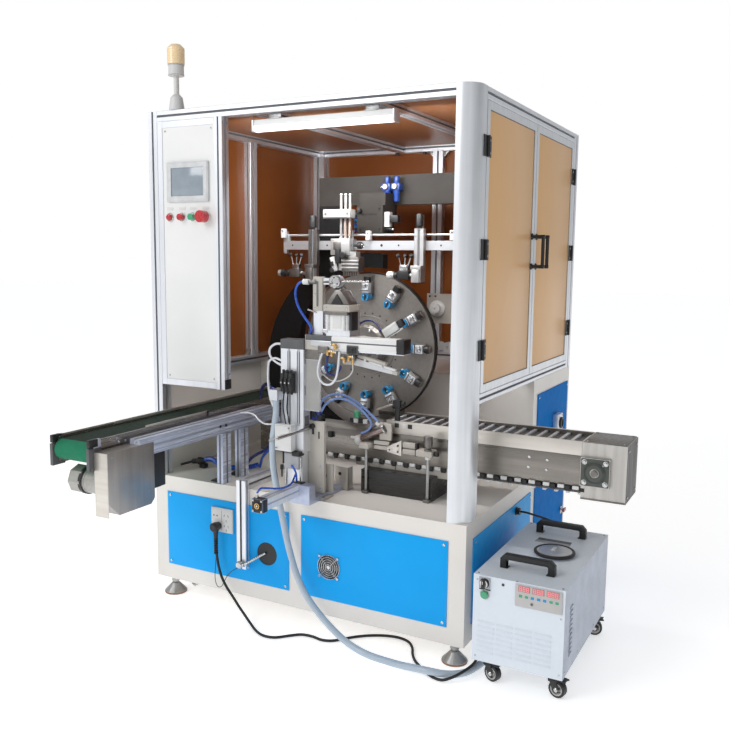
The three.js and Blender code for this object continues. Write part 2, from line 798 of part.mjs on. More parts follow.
// One part holder: a clamp block, an outer knob and an inner cup in a radial row, turned about the dial
function holderSolid(degrees) {
  const blockStart = 192;
  const blockEnd = 228;
  const blockHalf = 14;
  const blockReach = 30;
  const knobRadius = 12;
  const knobEnd = 252;
  const cupStart = 164;
  const cupRadius = 14;
  const sunk = 2;
  const axisY = dialY - blockReach / 2;
  const body = block(
    [dialX - blockHalf, dialY - blockReach, dialZ + blockStart],
    [dialX + blockHalf, dialY + sunk, dialZ + blockEnd],
  );
  const knob = rod(
    'z', [dialX, axisY, dialZ + blockEnd - sunk], knobRadius, knobEnd - blockEnd + sunk, smallSides,
  );
  const cup = rod('z', [dialX, axisY, dialZ + cupStart], cupRadius, blockStart - cupStart + sunk, smallSides);
  return join(body, knob, cup)
    .translate([-dialX, -dialY, -dialZ])
    .rotate([0, degrees, 0])
    .translate([dialX, dialY, dialZ]);
}

// Print head: the rail across the dial, two adjusting slides and the head between them
function buildHead() {
  const group = new THREE.Group();
  const railFront = 400;
  const railLeft = 290;
  const railRight = 985;
  const guideRise = 21;
  const rodHeight = headRailHigh + guideRise;
  const rodRadius = 4;
  const postWidth = 10;
  const endWidth = 14;
  const postInset = 20;
  const postShare = 0.525;
  const railMiddle = (railFront + headRailBack) / 2;
  const bar = block([railLeft, railFront, headRailLow], [railRight, headRailBack, headRailHigh]);
  const endPlate = block(
    [railLeft, railFront, headRailLow - endWidth],
    [railLeft + endWidth, headRailBack, rodHeight + endWidth],
  );
  const postPlaces = [
    railLeft + postInset, railLeft + postShare * (railRight - railLeft), railRight - postInset / 2,
  ];
  const posts = postPlaces.map((x) => block(
    [x - postWidth / 2, railMiddle - postWidth / 2, headRailHigh - rodRadius],
    [x + postWidth / 2, railMiddle + postWidth / 2, rodHeight],
  ));
  const guide = rod(
    'x', [railLeft - endWidth, railMiddle, rodHeight], rodRadius, railRight - railLeft + endWidth, smallSides,
  );
  addPart(group, 'head_rail', join(bar, endPlate, posts, guide), finish.aluminium);

  const slideRise = 40;

  const slideTop = headRailHigh + slideRise;
  const slideDrop = 109;
  const slideBottom = headRailLow - slideDrop;
  const slideThick = 13;
  const lipThick = 10;
  const lipReach = 4;
  const knobRadius = 12;
  const knobLength = 51;
  const knobTop = slideTop + knobLength;
  const blockHeight = 44;
  const blockReach = 26;
  const shaftRadius = 5;
  const slideWidth = 35;
  const leftSlideX = 411;
  const rightSlideX = 838;
  const leftShaftReach = 111;
  const rightShaftReach = 81;
  const slides = [
    { name: 'head_slide_left', left: leftSlideX, shaftReach: leftShaftReach },
    { name: 'head_slide_right', left: rightSlideX, shaftReach: rightShaftReach },
  ];
  const slideBack = railFront - clearance;
  const slideFront = slideBack - slideThick;
  for (const { name, left, shaftReach } of slides) {
    const right = left + slideWidth;
    const shaftEnd = left - shaftReach;
    const middleX = (left + right) / 2;
    const plate = block([left, slideFront, slideBottom], [right, slideBack, slideTop]);
    const lip = block(
      [left, slideFront, headRailHigh + clearance],
      [right, railFront + lipReach, headRailHigh + lipThick],
    );
    const topKnob = rod(
      'z', [middleX, slideFront + slideThick / 2, slideTop - rodRadius], knobRadius, knobTop - slideTop,
      smallSides,
    );
    const foot = block(
      [left, slideFront - blockReach, slideBottom], [right, slideBack, slideBottom + blockHeight],
    );
    const shaftZ = slideBottom + blockHeight / 2;
    const shaftY = slideFront - blockReach / 2;
    const shaft = rod(
      'x', [shaftEnd, shaftY, shaftZ], shaftRadius, left - shaftEnd + shaftRadius, smallSides,
    );
    const sideKnob = rod(
      'x', [shaftEnd - knobRadius, shaftY, shaftZ], knobRadius, 2 * knobRadius, smallSides,
    );
    const solid = join(plate, lip, topKnob, foot, shaft, sideKnob);
    addPart(group, name, solid, finish.aluminium, [middleX, slideBack, slideBottom]);
  }

  const headLeft = 525;
  const headRight = 600;
  const headFront = 354;
  const headDrop = 17;
  const headLow = headRailLow - headDrop;
  const headHeight = 55;
  const headHigh = headLow + headHeight;
  const bladeLeft = 555;
  const bladeRight = 626;
  const bladeHeight = 56;
  const bladeLow = headLow - bladeHeight;
  const poleShares = [0.36, 0.6, 0.84];
  const poleRise = 157;
  const poleTop = headHigh + poleRise;
  const clampLeft = 484;
  const clampDrop = 84;
  const clampLow = poleTop - clampDrop;
  const clampHeight = 30;
  const clampHigh = clampLow + clampHeight;
  const poleY = (headFront + slideBack) / 2;
  const poles = poleShares.map((share) => rod(
    'z', [headLeft + share * (headRight - headLeft), poleY, headHigh - rodRadius],
    shaftRadius, poleTop - headHigh, smallSides,
  ));
  const head = join(
    block([headLeft, headFront, headLow], [headRight, slideBack, headHigh]),
    block([bladeLeft, headFront, bladeLow], [bladeRight, slideBack - slideThick, headLow + lipThick]),
    block([clampLeft, poleY - knobRadius, clampLow], [headRight, poleY + knobRadius, clampHigh]),
    poles,
  );
  addPart(group, 'print_head', head, finish.white, [(headLeft + headRight) / 2, slideBack, headLow]);
  return group;
}

// Pick-up unit in the front opening: table rail, lift column, carriage and gripper
function buildPickUnit() {
  const group = new THREE.Group();
  const standLow = tableHeight + clearance;
  const railLeft = 662;
  const railRight = 692;
  const railFront = -46;
  const railBack = 200;
  const railThick = 16;
  const cylinderLeft = 618;
  const cylinderRight = 652;
  const cylinderFront = -262;
  const cylinderBack = -60;
  const cylinderRise = 26;
  const cylinderLow = tableHeight + cylinderRise;
  const cylinderHeight = 36;
  const cylinderHigh = cylinderLow + cylinderHeight;
  const capSize = 26;
  const capExtra = 3;
  const blockBack = -24;
  const crossRail = join(
    block([railLeft, railFront, standLow], [railRight, railBack, standLow + railThick]),
    block([cylinderLeft, cylinderFront, cylinderLow], [cylinderRight, blockBack, cylinderHigh]),
    block(
      [cylinderLeft - capExtra, cylinderFront, cylinderLow - capExtra],
      [cylinderRight + capExtra, cylinderFront + capSize, cylinderHigh + capExtra],
    ),
    block([cylinderLeft, cylinderBack, standLow], [railRight, blockBack, cylinderHigh]),
  );
  addPart(group, 'cross_rail', crossRail, finish.aluminium);

  const columnWidth = 86;
  const columnDepth = 40;
  const columnProud = 10;
  const columnX = [liftColumnX, liftColumnX + columnWidth];
  const columnY = [-columnProud, columnDepth - columnProud];
  const columnRise = 238;
  const columnLow = tableHeight + columnRise;
  const tallHeight = 245;
  const capLow = columnLow + tallHeight;
  const capDeep = 37;
  const capTop = capLow + capDeep;
  const grooveWidth = 12;
  const grooveDepth = 6;
  const bracketRise = 154;
  const bracketLow = tableHeight + bracketRise;
  const bracketInset = 9;
  const lowerInset = 22;
  const lowerWidth = 56;
  const standInset = 14;
  const standReach = 18;
  const bracketX = [columnX[0] + bracketInset, columnX[1]];
  const lowerX = [columnX[0] + lowerInset, columnX[0] + lowerInset + lowerWidth];
  const standX = [columnX[0] + standInset, columnX[1] + standReach];
  const standThick = 12;
  const slotPlateWidth = 90;
  const slotPlateThick = 12;
  const slotPlateGap = 3;
  const slotPlateInset = 38;
  const slotPlateX = [columnX[1] - slotPlateInset, columnX[1] - slotPlateInset + slotPlateWidth];
  const slotPlateY = [columnY[1] + slotPlateGap, columnY[1] + slotPlateGap + slotPlateThick];
  const slotPlateRise = 254;
  const slotPlateHigh = tableHeight + slotPlateRise;
  const columnMiddle = (columnX[0] + columnX[1]) / 2;
  const tall = cut(
    block([columnX[0], columnY[0], columnLow], [columnX[1], columnY[1], capTop]),
    [columnMiddle - grooveWidth, columnMiddle + 2 * grooveWidth].map((x) => block(
      [x - grooveWidth / 2, columnY[0] - overrun, columnLow + grooveWidth],
      [x + grooveWidth / 2, columnY[0] + grooveDepth, capLow],
    )),
  );
  const column = join(
    tall,
    block([bracketX[0], columnY[0], bracketLow], [bracketX[1], columnY[1], columnLow + grooveWidth]),
    block([lowerX[0], columnY[0] + grooveDepth, standLow], [lowerX[1], columnY[1], bracketLow + grooveWidth]),
    block([standX[0], columnY[0], standLow], [standX[1], slotPlateY[1], standLow + standThick]),
    block([bracketX[0], columnY[1] - grooveDepth, bracketLow], [bracketX[1], slotPlateY[1], slotPlateHigh]),
    block(
      [slotPlateX[0], slotPlateY[0], standLow + railThick + clearance],
      [slotPlateX[1], slotPlateY[1], slotPlateHigh],
    ),
    hoseFitting(columnY[0]),
  );
  addPart(group, 'lift_column', column, finish.white, [columnMiddle, 0, tableHeight]);

  const carriageWidth = 54;
  const carriageThick = 10;
  const carriageX = [columnX[1] + clearance, columnX[1] + carriageWidth];
  const carriageY = [0, carriageThick];
  const carriageRise = 294;
  const carriageLow = tableHeight + carriageRise;
  const armRise = 493;
  const armLow = tableHeight + armRise;
  const armDeep = 45;
  const armHigh = armLow + armDeep;
  const armBack = 40;
  const armRight = 745;
  const actuatorRight = 990;
  const actuatorFront = -6;
  const towerWidth = 34;
  const towerThick = 14;
  const towerInset = 2;
  const towerFront = 22;
  const towerX = [carriageX[1] - towerInset - towerWidth, carriageX[1] - towerInset];
  const towerY = [towerFront, towerFront + towerThick];
  const towerHeight = 183;
  const towerTop = armHigh + towerHeight;
  const pressStart = 716;
  const pressWidth = 84;
  const pressDepth = 66;
  const pressX = [pressStart, pressStart + pressWidth];
  const pressY = [0, pressDepth];
  const pressHeight = 99;
  const pressTop = armHigh + pressHeight;
  const peakHeight = 44;
  const peakTop = pressTop + peakHeight;
  const peakShare = 0.3;
  const ringDrop = 13;
  const ringZ = towerTop - ringDrop;
  const ringRadius = 20;
  const ringX = 742;
  const pressMiddle = (pressX[0] + pressX[1]) / 2;
  const peakHalf = (pressX[1] - pressX[0]) / 2;
  const carriage = join(
    block([carriageX[0], carriageY[0], carriageLow], [carriageX[1], carriageY[1], armHigh]),
    block([carriageX[0], carriageY[0], armLow], [armRight, armBack, armHigh]),
    block([armRight - overrun, actuatorFront, armLow], [actuatorRight, armBack, armHigh]),
    block([towerX[0], towerY[0], armHigh - overrun], [towerX[1], towerY[1], towerTop]),
    block([pressX[0], pressY[0], armHigh - overrun], [pressX[1], pressY[1], pressTop]),
    prism('y', [
      [pressX[0], pressTop - overrun], [pressX[1], pressTop - overrun],
      [pressMiddle + peakShare * peakHalf, peakTop], [pressMiddle - peakShare * peakHalf, peakTop],
    ], pressY[0] + carriageY[1], pressY[1] - carriageY[1]),
    rod('y', [ringX, towerY[0], ringZ], ringRadius, towerY[1] - towerY[0], smallSides),
    block(
      [towerX[0], towerY[0] + clearance, ringZ - ringRadius / 2],
      [ringX, towerY[1] - clearance, ringZ + ringRadius / 2],
    ),
  );
  addPart(group, 'lift_carriage', carriage, finish.white, [carriageX[0], 0, armLow]);

  const gripStart = 770;
  const gripWidth = 48;
  const gripDepth = 34;
  const gripX = [gripStart, gripStart + gripWidth];
  const gripY = [0, gripDepth];
  const gripTop = armLow - clearance;
  const gripHeight = 27;
  const gripLow = armLow - gripHeight;
  const fingerReach = 960;
  const fingerThick = 8;
  const fingerDrop = 28;
  const gripper = join(
    block([gripX[0], gripY[0], gripLow], [gripX[1], gripY[1], gripTop]),
    prism('y', [
      [gripX[0], gripLow + fingerThick], [gripX[0], gripLow - fingerThick],
      [fingerReach, gripLow - fingerDrop - fingerThick], [fingerReach, gripLow - fingerDrop],
      [gripX[1], gripLow + fingerThick],
    ], gripY[0] + fingerThick, gripY[1] - fingerThick),
  );
  addPart(group, 'gripper', gripper, finish.steel, [gripX[0], 0, gripTop]);
  return group;
}

// Fitting on the lift column's front that the grey hose is pushed onto, mouth down
const hoseRadius = 11;
const liftColumnX = 552;
const hoseOutset = 7;
const hoseX = liftColumnX - hoseOutset;
const hoseY = -30;
const hoseRise = 324;
const hoseTop = tableHeight + hoseRise;

function hoseFitting(columnFront) {
  const bossHeight = 34;
  const bossHalf = 15;
  return block(
    [hoseX - bossHalf, hoseY - bossHalf, hoseTop + clearance],
    [hoseX + bossHalf, columnFront + bossHalf, hoseTop + bossHeight],
  );
}

// Slatted infeed conveyor through the right side
function buildInfeed() {
  const group = new THREE.Group();
  const plateThick = 4;
  const bandHeight = 42;
  const bandReach = 6;
  const bandStart = 827;
  const bedThick = 8;
  const channelStart = 764;
  const channelLength = 289;
  const standStart = 755;
  const standLength = 258;
  const channelX = [channelStart, channelStart + channelLength];
  const channelDrop = 30;
  const standX = [standStart, standStart + standLength];
  const standFront = 168;
  const plateEnd = driveBoxStart - clearance;
  const front = block(
    [infeedStart, infeedFront, infeedPlateBottom], [plateEnd, infeedFront + plateThick, infeedTop],
  );
  const back = block(
    [infeedStart, infeedBack - plateThick, infeedPlateBottom], [plateEnd, infeedBack, infeedTop],
  );
  const bands = [
    [infeedFront - bandReach, infeedFront + plateThick / 2],
    [infeedBack - plateThick / 2, infeedBack + bandReach],
  ].map(([from, to]) => block([bandStart, from, infeedTop - bandHeight], [plateEnd, to, infeedTop]));
  const beltRadius = 73;
  const beltThick = 6;
  const beltStart = 808;
  const bedTop = infeedShaftZ + beltRadius - beltThick - clearance;
  const bed = block(
    [beltStart, infeedFront, bedTop - bedThick],
    [infeedShaftX - beltRadius - bandReach, infeedBack, bedTop],
  );
  const skirtLow = infeedPlateBottom - channelDrop;
  const skirts = [infeedFront, infeedBack - plateThick].map((y) => block(
    [channelX[0], y, skirtLow - 2 * plateThick], [channelX[1], y + plateThick, infeedPlateBottom + bandReach],
  ));
  const stand = block(
    [standX[0], standFront, tableHeight + clearance], [standX[1], infeedBack, skirtLow - clearance],
  );
  const seat = block(
    [channelX[0], infeedFront, skirtLow - 2 * plateThick],
    [standX[1], infeedBack, skirtLow],
  );
  addPart(group, 'infeed_frame', join(front, back, bands, bed, skirts, seat, stand), finish.steel);

  const slatHeight = 6;
  const slatWidth = 10;
  const slatPitch = 36;
  const sideRoom = 2;
  const beltY = [infeedFront + plateThick + sideRoom, infeedBack - plateThick - sideRoom];
  const loop = (radius) => stadium(beltStart, infeedShaftX, infeedShaftZ, radius);
  const ring = loop(beltRadius);
  ring.holes.push(loop(beltRadius - beltThick));
  const belt = prism('y', ring, ...beltY);
  const straight = infeedShaftX - beltStart;
  const slats = [];
  for (let x = slatPitch / 2; x < straight; x += slatPitch) {
    for (const side of [1, -1]) {
      const z = [beltRadius - beltThick / 2, beltRadius + slatHeight].map(
        (radius) => infeedShaftZ + side * radius,
      );
      slats.push(block(
        [beltStart + x - slatWidth / 2, beltY[0], Math.min(...z)],
        [beltStart + x + slatWidth / 2, beltY[1], Math.max(...z)],
      ));
    }
  }
  addPart(group, 'slat_belt', join(belt, slats), finish.grey);

  const boxWall = 3;
  const boxExtra = 6;
  const boxY = [infeedFront - boxExtra, infeedBack + boxExtra];
  const shaftRadius = 10;
  const flangeHalf = 43;
  const flangeThick = 14;
  const collarRadius = 24;
  const collarThick = 22;
  const shell = cut(
    block([driveBoxStart, boxY[0], driveBoxBottom], [driveBoxEnd, boxY[1], infeedTop]),
    block(
      [driveBoxStart - overrun, boxY[0] + boxWall, driveBoxBottom + boxWall],
      [driveBoxEnd - boxWall, boxY[1] - boxWall, infeedTop - boxWall],
    ),
  );
  const flange = join(
    block(
      [infeedShaftX - flangeHalf, boxY[0] - flangeThick, infeedShaftZ - flangeHalf],
      [infeedShaftX + flangeHalf, boxY[0] + boxWall / 2, infeedShaftZ + flangeHalf],
    ),
    rod('y', [infeedShaftX, boxY[0] - collarThick, infeedShaftZ], collarRadius, collarThick),
  );
  const boxDepth = boxY[1] - boxY[0] + collarThick;
  const bore = rod(
    'y', [infeedShaftX, boxY[0] - collarThick - overrun, infeedShaftZ], shaftRadius + clearance,
    boxDepth + 2 * overrun,
  );
  addPart(group, 'infeed_drive_box', cut(join(shell, flange), bore), finish.steel);

  const shaftReach = 6;
  const drumRadius = beltRadius - beltThick - clearance;
  const shaft = join(
    rod(
      'y', [infeedShaftX, boxY[0] - collarThick - shaftReach, infeedShaftZ], shaftRadius,
      boxDepth + 2 * shaftReach,
    ),
    rod('y', [infeedShaftX, beltY[0], infeedShaftZ], drumRadius, beltY[1] - beltY[0]),
  );
  addPart(group, 'drive_shaft', shaft, finish.darkSteel, [infeedShaftX, infeedFront, infeedShaftZ]);
  return group;
}

// A loop with two round ends, as wide as twice its radius
function stadium(fromX, toX, height, radius) {
  const shape = new THREE.Shape();
  shape.moveTo(fromX, height - radius);
  shape.lineTo(toX, height - radius);
  shape.absarc(toX, height, radius, -Math.PI / 2, Math.PI / 2, false);
  shape.lineTo(fromX, height + radius);
  shape.absarc(fromX, height, radius, Math.PI / 2, 1.5 * Math.PI, false);
  return shape;
}

// Belt outfeed conveyor through the front
function buildOutfeed() {
  const group = new THREE.Group();
  const plateThick = 4;
  const capLength = 24;
  const capWidth = 9;
  const capDrop = 86;
  const railGap = 20;
  const railWidth = 41;
  const railDrop = 15;
  const railHigh = 54;
  const railNear = -395;
  const railFar = 300;
  const postDepth = 45;
  const postStart = 3;
  const postPitch = 102;
  const railX = [outfeedRight + railGap, outfeedRight + railGap + railWidth];
  const railZ = [outfeedTop - railDrop - railHigh, outfeedTop - railDrop];
  const railY = [railNear, railFar];
  const postY = [postStart, postStart + postPitch].map((y) => [y, y + postDepth]);
  const postWidth = 26;
  const spacerWidth = 30;
  const spacerShares = [0.05, 0.425, 0.8, 0.957];
  const bedDrop = 36;
  const bedThick = 6;
  const farPostInset = 58;
  const farPostDepth = 35;
  const farPostY = [outfeedFar - farPostInset, outfeedFar - farPostInset + farPostDepth];
  const standLow = tableHeight + clearance;
  const sides = [outfeedLeft, outfeedRight - plateThick].map((x) => block(
    [x, outfeedNear, outfeedBottom], [x + plateThick, outfeedFar, outfeedTop],
  ));
  const rollerRadius = 28;
  const beltThick = 3;
  const beltTop = outfeedTop - 2 * plateThick;
  const rollerZ = beltTop - beltThick - rollerRadius;
  const nearRoller = outfeedNear + capLength / 2;
  const farRoller = outfeedFar - 2 * rollerRadius;
  const bedTop = beltTop - beltThick - clearance;
  const bed = block(
    [outfeedLeft, nearRoller + bedDrop + rollerRadius, bedTop - bedThick],
    [outfeedRight, farRoller - bedDrop - rollerRadius, bedTop],
  );
  const rail = block([railX[0], railY[0], railZ[0]], [railX[1], railY[1], railZ[1]]);
  const spacers = spacerShares.map((share) => railNear + share * (railFar - railNear)).map((y) => block(
    [outfeedRight - plateThick, y, railZ[0]], [railX[0] + plateThick, y + spacerWidth, railZ[1] - plateThick],
  ));
  const posts = postY.map(([from, to]) => block(
    [railX[1] - postWidth, from, standLow], [railX[1], to, railZ[0] + plateThick],
  ));
  const farPost = block(
    [outfeedLeft, farPostY[0], standLow],
    [outfeedRight, farPostY[1], rollerZ - rollerRadius - 2 * beltThick - clearance],
  );
  const farCheeks = [outfeedLeft, outfeedRight - plateThick].map((x) => block(
    [x, farPostY[0], standLow], [x + plateThick, farPostY[1], outfeedBottom + plateThick],
  ));
  const caps = [
    [outfeedLeft - capWidth, outfeedLeft + plateThick / 2],
    [outfeedRight - plateThick / 2, outfeedRight + capWidth],
  ].map(([from, to]) => block(
    [from, outfeedNear - plateThick, outfeedTop - capDrop],
    [to, outfeedNear + capLength, outfeedTop + plateThick],
  ));
  const frame = join(sides, bed, rail, spacers, posts, farPost, farCheeks, caps);
  addPart(group, 'outfeed_frame', frame, finish.aluminium);

  const sideRoom = 2;
  const beltX = [outfeedLeft + plateThick + sideRoom, outfeedRight - plateThick - sideRoom];
  const outer = stadium(nearRoller, farRoller, rollerZ, rollerRadius + beltThick);
  outer.holes.push(stadium(nearRoller, farRoller, rollerZ, rollerRadius));
  addPart(group, 'outfeed_belt', prism('x', outer, ...beltX), finish.green);

  const axleRadius = 6;
  const axleX = [outfeedLeft + plateThick + clearance, outfeedRight - plateThick - clearance];
  const roller = join(
    rod('x', [beltX[0], nearRoller, rollerZ], rollerRadius - clearance, beltX[1] - beltX[0]),
    rod('x', [axleX[0], nearRoller, rollerZ], axleRadius, axleX[1] - axleX[0]),
  );
  addPart(group, 'end_roller', roller, finish.steel, [outfeedLeft, nearRoller, rollerZ]);

  const coverLength = 191;
  const coverHeight = 191;
  const coverDrop = 31;
  const coverX = [outfeedRight + 2 * clearance + capWidth, railX[1]];
  const coverY = [outfeedNear - plateThick, outfeedNear - plateThick + coverLength];
  const coverZ = [outfeedTop - coverDrop - coverHeight, outfeedTop - coverDrop];
  const chamfer = 42;
  const smallChamfer = 16;
  const hanger = 20;
  const cover = prism('x', [
    [coverY[0], coverZ[1]], [coverY[0], coverZ[0] + chamfer], [coverY[0] + chamfer, coverZ[0]],
    [coverY[1] - smallChamfer, coverZ[0]], [coverY[1], coverZ[0] + smallChamfer],
    [coverY[1], railZ[0] - clearance], [railY[0] - clearance, railZ[0] - clearance],
    [railY[0] - clearance, coverZ[1]],
  ], ...coverX);
  const tailBlock = block(
    [coverX[0], coverY[1] - hanger, coverZ[0] + 2 * hanger],
    [coverX[1] - hanger / 2, coverY[1] + 2 * hanger, railZ[0] - hanger],
  );
  addPart(group, 'drive_cover', join(cover, tailBlock), finish.steel);

  const motorY = -470;
  const motorBelow = 138;
  const motorZ = outfeedTop - motorBelow;
  const motorRadius = 38;
  const gearRadius = 44;
  const gearLength = 46;
  const motorEnd = coverX[0] - clearance;
  const motorStart = 122;
  const ringLength = 6;
  const gearSides = 8;
  const motor = join(
    rod('x', [motorStart, motorY, motorZ], gearRadius, gearLength, gearSides),
    rod(
      'x', [motorStart + gearLength - ringLength, motorY, motorZ], gearRadius - ringLength / 2, 2 * ringLength,
    ),
    rod('x', [motorStart + gearLength, motorY, motorZ], motorRadius, motorEnd - motorStart - gearLength),
  );
  addPart(group, 'gear_motor', motor, finish.steel, [motorStart, motorY, motorZ]);
  return group;
}

// Wheeled cooling unit beside the machine
const coolerRight = coolerLeft + coolerWidth;
const coolerBack = coolerFront + coolerDepth;
const inletInset = 107;
const inletX = coolerLeft + inletInset;
const inletZ = 150;
const spigotInset = 157;
const spigotX = coolerLeft + spigotInset;
const spigotZ = 210;
const linkInset = 195;
const linkX = coolerLeft + linkInset;
const linkZ = 275;
const cordRadius = 4.5;
const connectorReach = 22;

function buildCooler() {
  const group = new THREE.Group();
  const wall = 4;
  const panelInset = 10;
  const panelWidth = 130;
  const panelDrop = 7;
  const panelHeight = 58;
  const panelRight = coolerRight - panelInset;
  const panelLeft = panelRight - panelWidth;
  const panelHigh = coolerTop - panelDrop;
  const panelLow = panelHigh - panelHeight;
  const panelReach = 3;
  const louvreColumns = 4;
  const louvreRows = 7;
  const louvreDepth = 2;
  const louvreHeight = 6;
  const louvreDrop = 137;
  const louvreTop = coolerTop - louvreDrop;
  const louvrePitch = 15;
  const louvreGap = 8;
  const louvreInset = 16;
  const louvreMargin = 28;
  const louvreRight = coolerRight - louvreMargin;
  const shell = cut(
    block([coolerLeft, coolerFront, coolerBottom], [coolerRight, coolerBack, coolerTop]),
    block(
      [coolerLeft + wall, coolerFront + wall, coolerBottom - overrun],
      [coolerRight - wall, coolerBack - wall, coolerTop - wall],
    ),
  );
  const louvres = [];
  const louvreWidth = (louvreRight - coolerLeft - louvreInset) / louvreColumns;
  for (let column = 0; column < louvreColumns; column += 1) {
    for (let row = 0; row < louvreRows; row += 1) {
      const x = coolerLeft + louvreInset + column * louvreWidth;
      const z = louvreTop - row * louvrePitch;
      louvres.push(block(
        [x, coolerFront - overrun, z - louvreHeight],
        [x + louvreWidth - louvreGap, coolerFront + louvreDepth, z],
      ));
    }
  }
  const display = block(
    [panelLeft, coolerFront - panelReach, panelLow], [panelRight, coolerFront + wall / 2, panelHigh],
  );
  const casterPad = 76;
  const padThick = 5;
  const pads = [coolerLeft, coolerRight - casterPad].flatMap((x) => [coolerFront, coolerBack - casterPad].map(
    (y) => block([x, y, coolerBottom], [x + casterPad, y + casterPad, coolerBottom + padThick]),
  ));
  const inletRadius = 14;
  const spigotRadius = 9;
  const linkSocketRadius = 8;
  const connectors = [
    { x: inletX, z: inletZ, radius: inletRadius },
    { x: spigotX, z: spigotZ, radius: spigotRadius },
    { x: linkX, z: linkZ, radius: linkSocketRadius },
  ].map(({ x, z, radius }) => rod(
    'y', [x, coolerBack - wall / 2, z], radius, connectorReach + wall / 2, smallSides,
  ));
  const plateHalf = 17;
  const switchInset = 35;
  const switchDrop = 21;
  const switchX = coolerLeft + switchInset;
  const switchZ = coolerTop - switchDrop;
  const switchPlate = block(
    [switchX - plateHalf, coolerFront - panelReach, switchZ - plateHalf],
    [switchX + plateHalf, coolerFront + wall / 2, switchZ + plateHalf],
  );
  const buttonBelow = 35;
  const buttonZ = switchZ - buttonBelow;
  const buttonRadius = 11;
  const buttonBore = rod(
    'y', [switchX, coolerFront - overrun, buttonZ], buttonRadius + clearance, wall + 2 * overrun,
  );
  const capAlong = 162;
  const capBack = 269;
  const capX = coolerLeft + capAlong;
  const capY = coolerFront + capBack;
  const capRadius = 60;
  const collarHeight = 5;
  const collar = rod('z', [capX, capY, coolerTop - wall / 2], capRadius - collarHeight, collarHeight);
  const body = cut(join(shell, display, pads, connectors, switchPlate, collar), louvres, buttonBore);
  addPart(group, 'cooler_body', body, finish.white);

  const capHeight = 8;
  const capLow = coolerTop - wall / 2 + collarHeight + clearance;
  const cap = turned('z', [capX, capY, capLow], [
    [0, 0], [capRadius, 0], [capRadius, capHeight], [0, capHeight],
  ]);
  addPart(group, 'filler_cap', cap, finish.grey, [capX, capY, capLow]);

  const switchFront = coolerFront - panelReach - clearance;
  const dialRadiusSmall = 13;
  const dialReach = 10;
  const gripReach = 9;
  const gripHalf = 4;
  const selector = join(
    rod('y', [switchX, switchFront - dialReach, switchZ], dialRadiusSmall, dialReach),
    block(
      [switchX - gripHalf, switchFront - dialReach - gripReach, switchZ - dialRadiusSmall + clearance],
      [switchX + gripHalf, switchFront - dialReach / 2, switchZ + dialRadiusSmall - clearance],
    ),
  );
  addPart(group, 'cooler_switch', selector, finish.black, [switchX, switchFront, switchZ]);
  const buttonReach = 8;
  const greenButton = rod(
    'y', [switchX, coolerFront - buttonReach, buttonZ], buttonRadius, buttonReach + wall / 2,
  );
  addPart(group, 'cooler_button', greenButton, finish.green, [switchX, coolerFront, buttonZ]);

  const handleInset = 55;
  const handleLength = 152;
  const handleX = [coolerLeft + handleInset, coolerLeft + handleInset + handleLength];
  const handleFrontInset = 94;
  const handleRearInset = 78;
  const handleRise = 40;
  const handleWidth = 20;
  const handleThick = 12;
  const footDepth = 14;
  const handles = [
    { name: 'cooler_handle_front', y: coolerFront + handleFrontInset },
    { name: 'cooler_handle_rear', y: coolerBack - handleRearInset },
  ];
  for (const { name, y } of handles) {
    const low = coolerTop + clearance;
    const outline = new THREE.Shape();
    outline.moveTo(handleX[0], low);
    outline.lineTo(handleX[0] + footDepth, low);
    outline.lineTo(handleX[0] + footDepth, low + handleRise - handleThick);
    outline.lineTo(handleX[1] - footDepth, low + handleRise - handleThick);
    outline.lineTo(handleX[1] - footDepth, low);
    outline.lineTo(handleX[1], low);
    outline.lineTo(handleX[1], low + handleRise - footDepth);
    outline.absarc(handleX[1] - footDepth, low + handleRise - footDepth, footDepth, 0, Math.PI / 2, false);
    outline.lineTo(handleX[0] + footDepth, low + handleRise);
    outline.absarc(
      handleX[0] + footDepth, low + handleRise - footDepth, footDepth, Math.PI / 2, Math.PI, false,
    );
    addPart(group, name, prism('y', outline, y - handleWidth / 2, y + handleWidth / 2), finish.black);
  }

  const casterSideInset = 38;
  const casterEndInset = 46;
  const left = coolerLeft + casterSideInset;
  const right = coolerRight - casterSideInset;
  const near = coolerFront + casterEndInset;
  const far = coolerBack - casterEndInset;
  const casters = [
    { name: 'caster_front_left', x: left, y: near, degrees: -20 },
    { name: 'caster_front_right', x: right, y: near, degrees: -12 },
    { name: 'caster_rear_left', x: left, y: far, degrees: 35 },
    { name: 'caster_rear_right', x: right, y: far, degrees: 15 },
  ];
  for (const { name, x, y, degrees } of casters) {
    addPart(group, name, casterSolid(x, y, degrees), finish.black, [x, y, 0]);
  }
  return group;
}

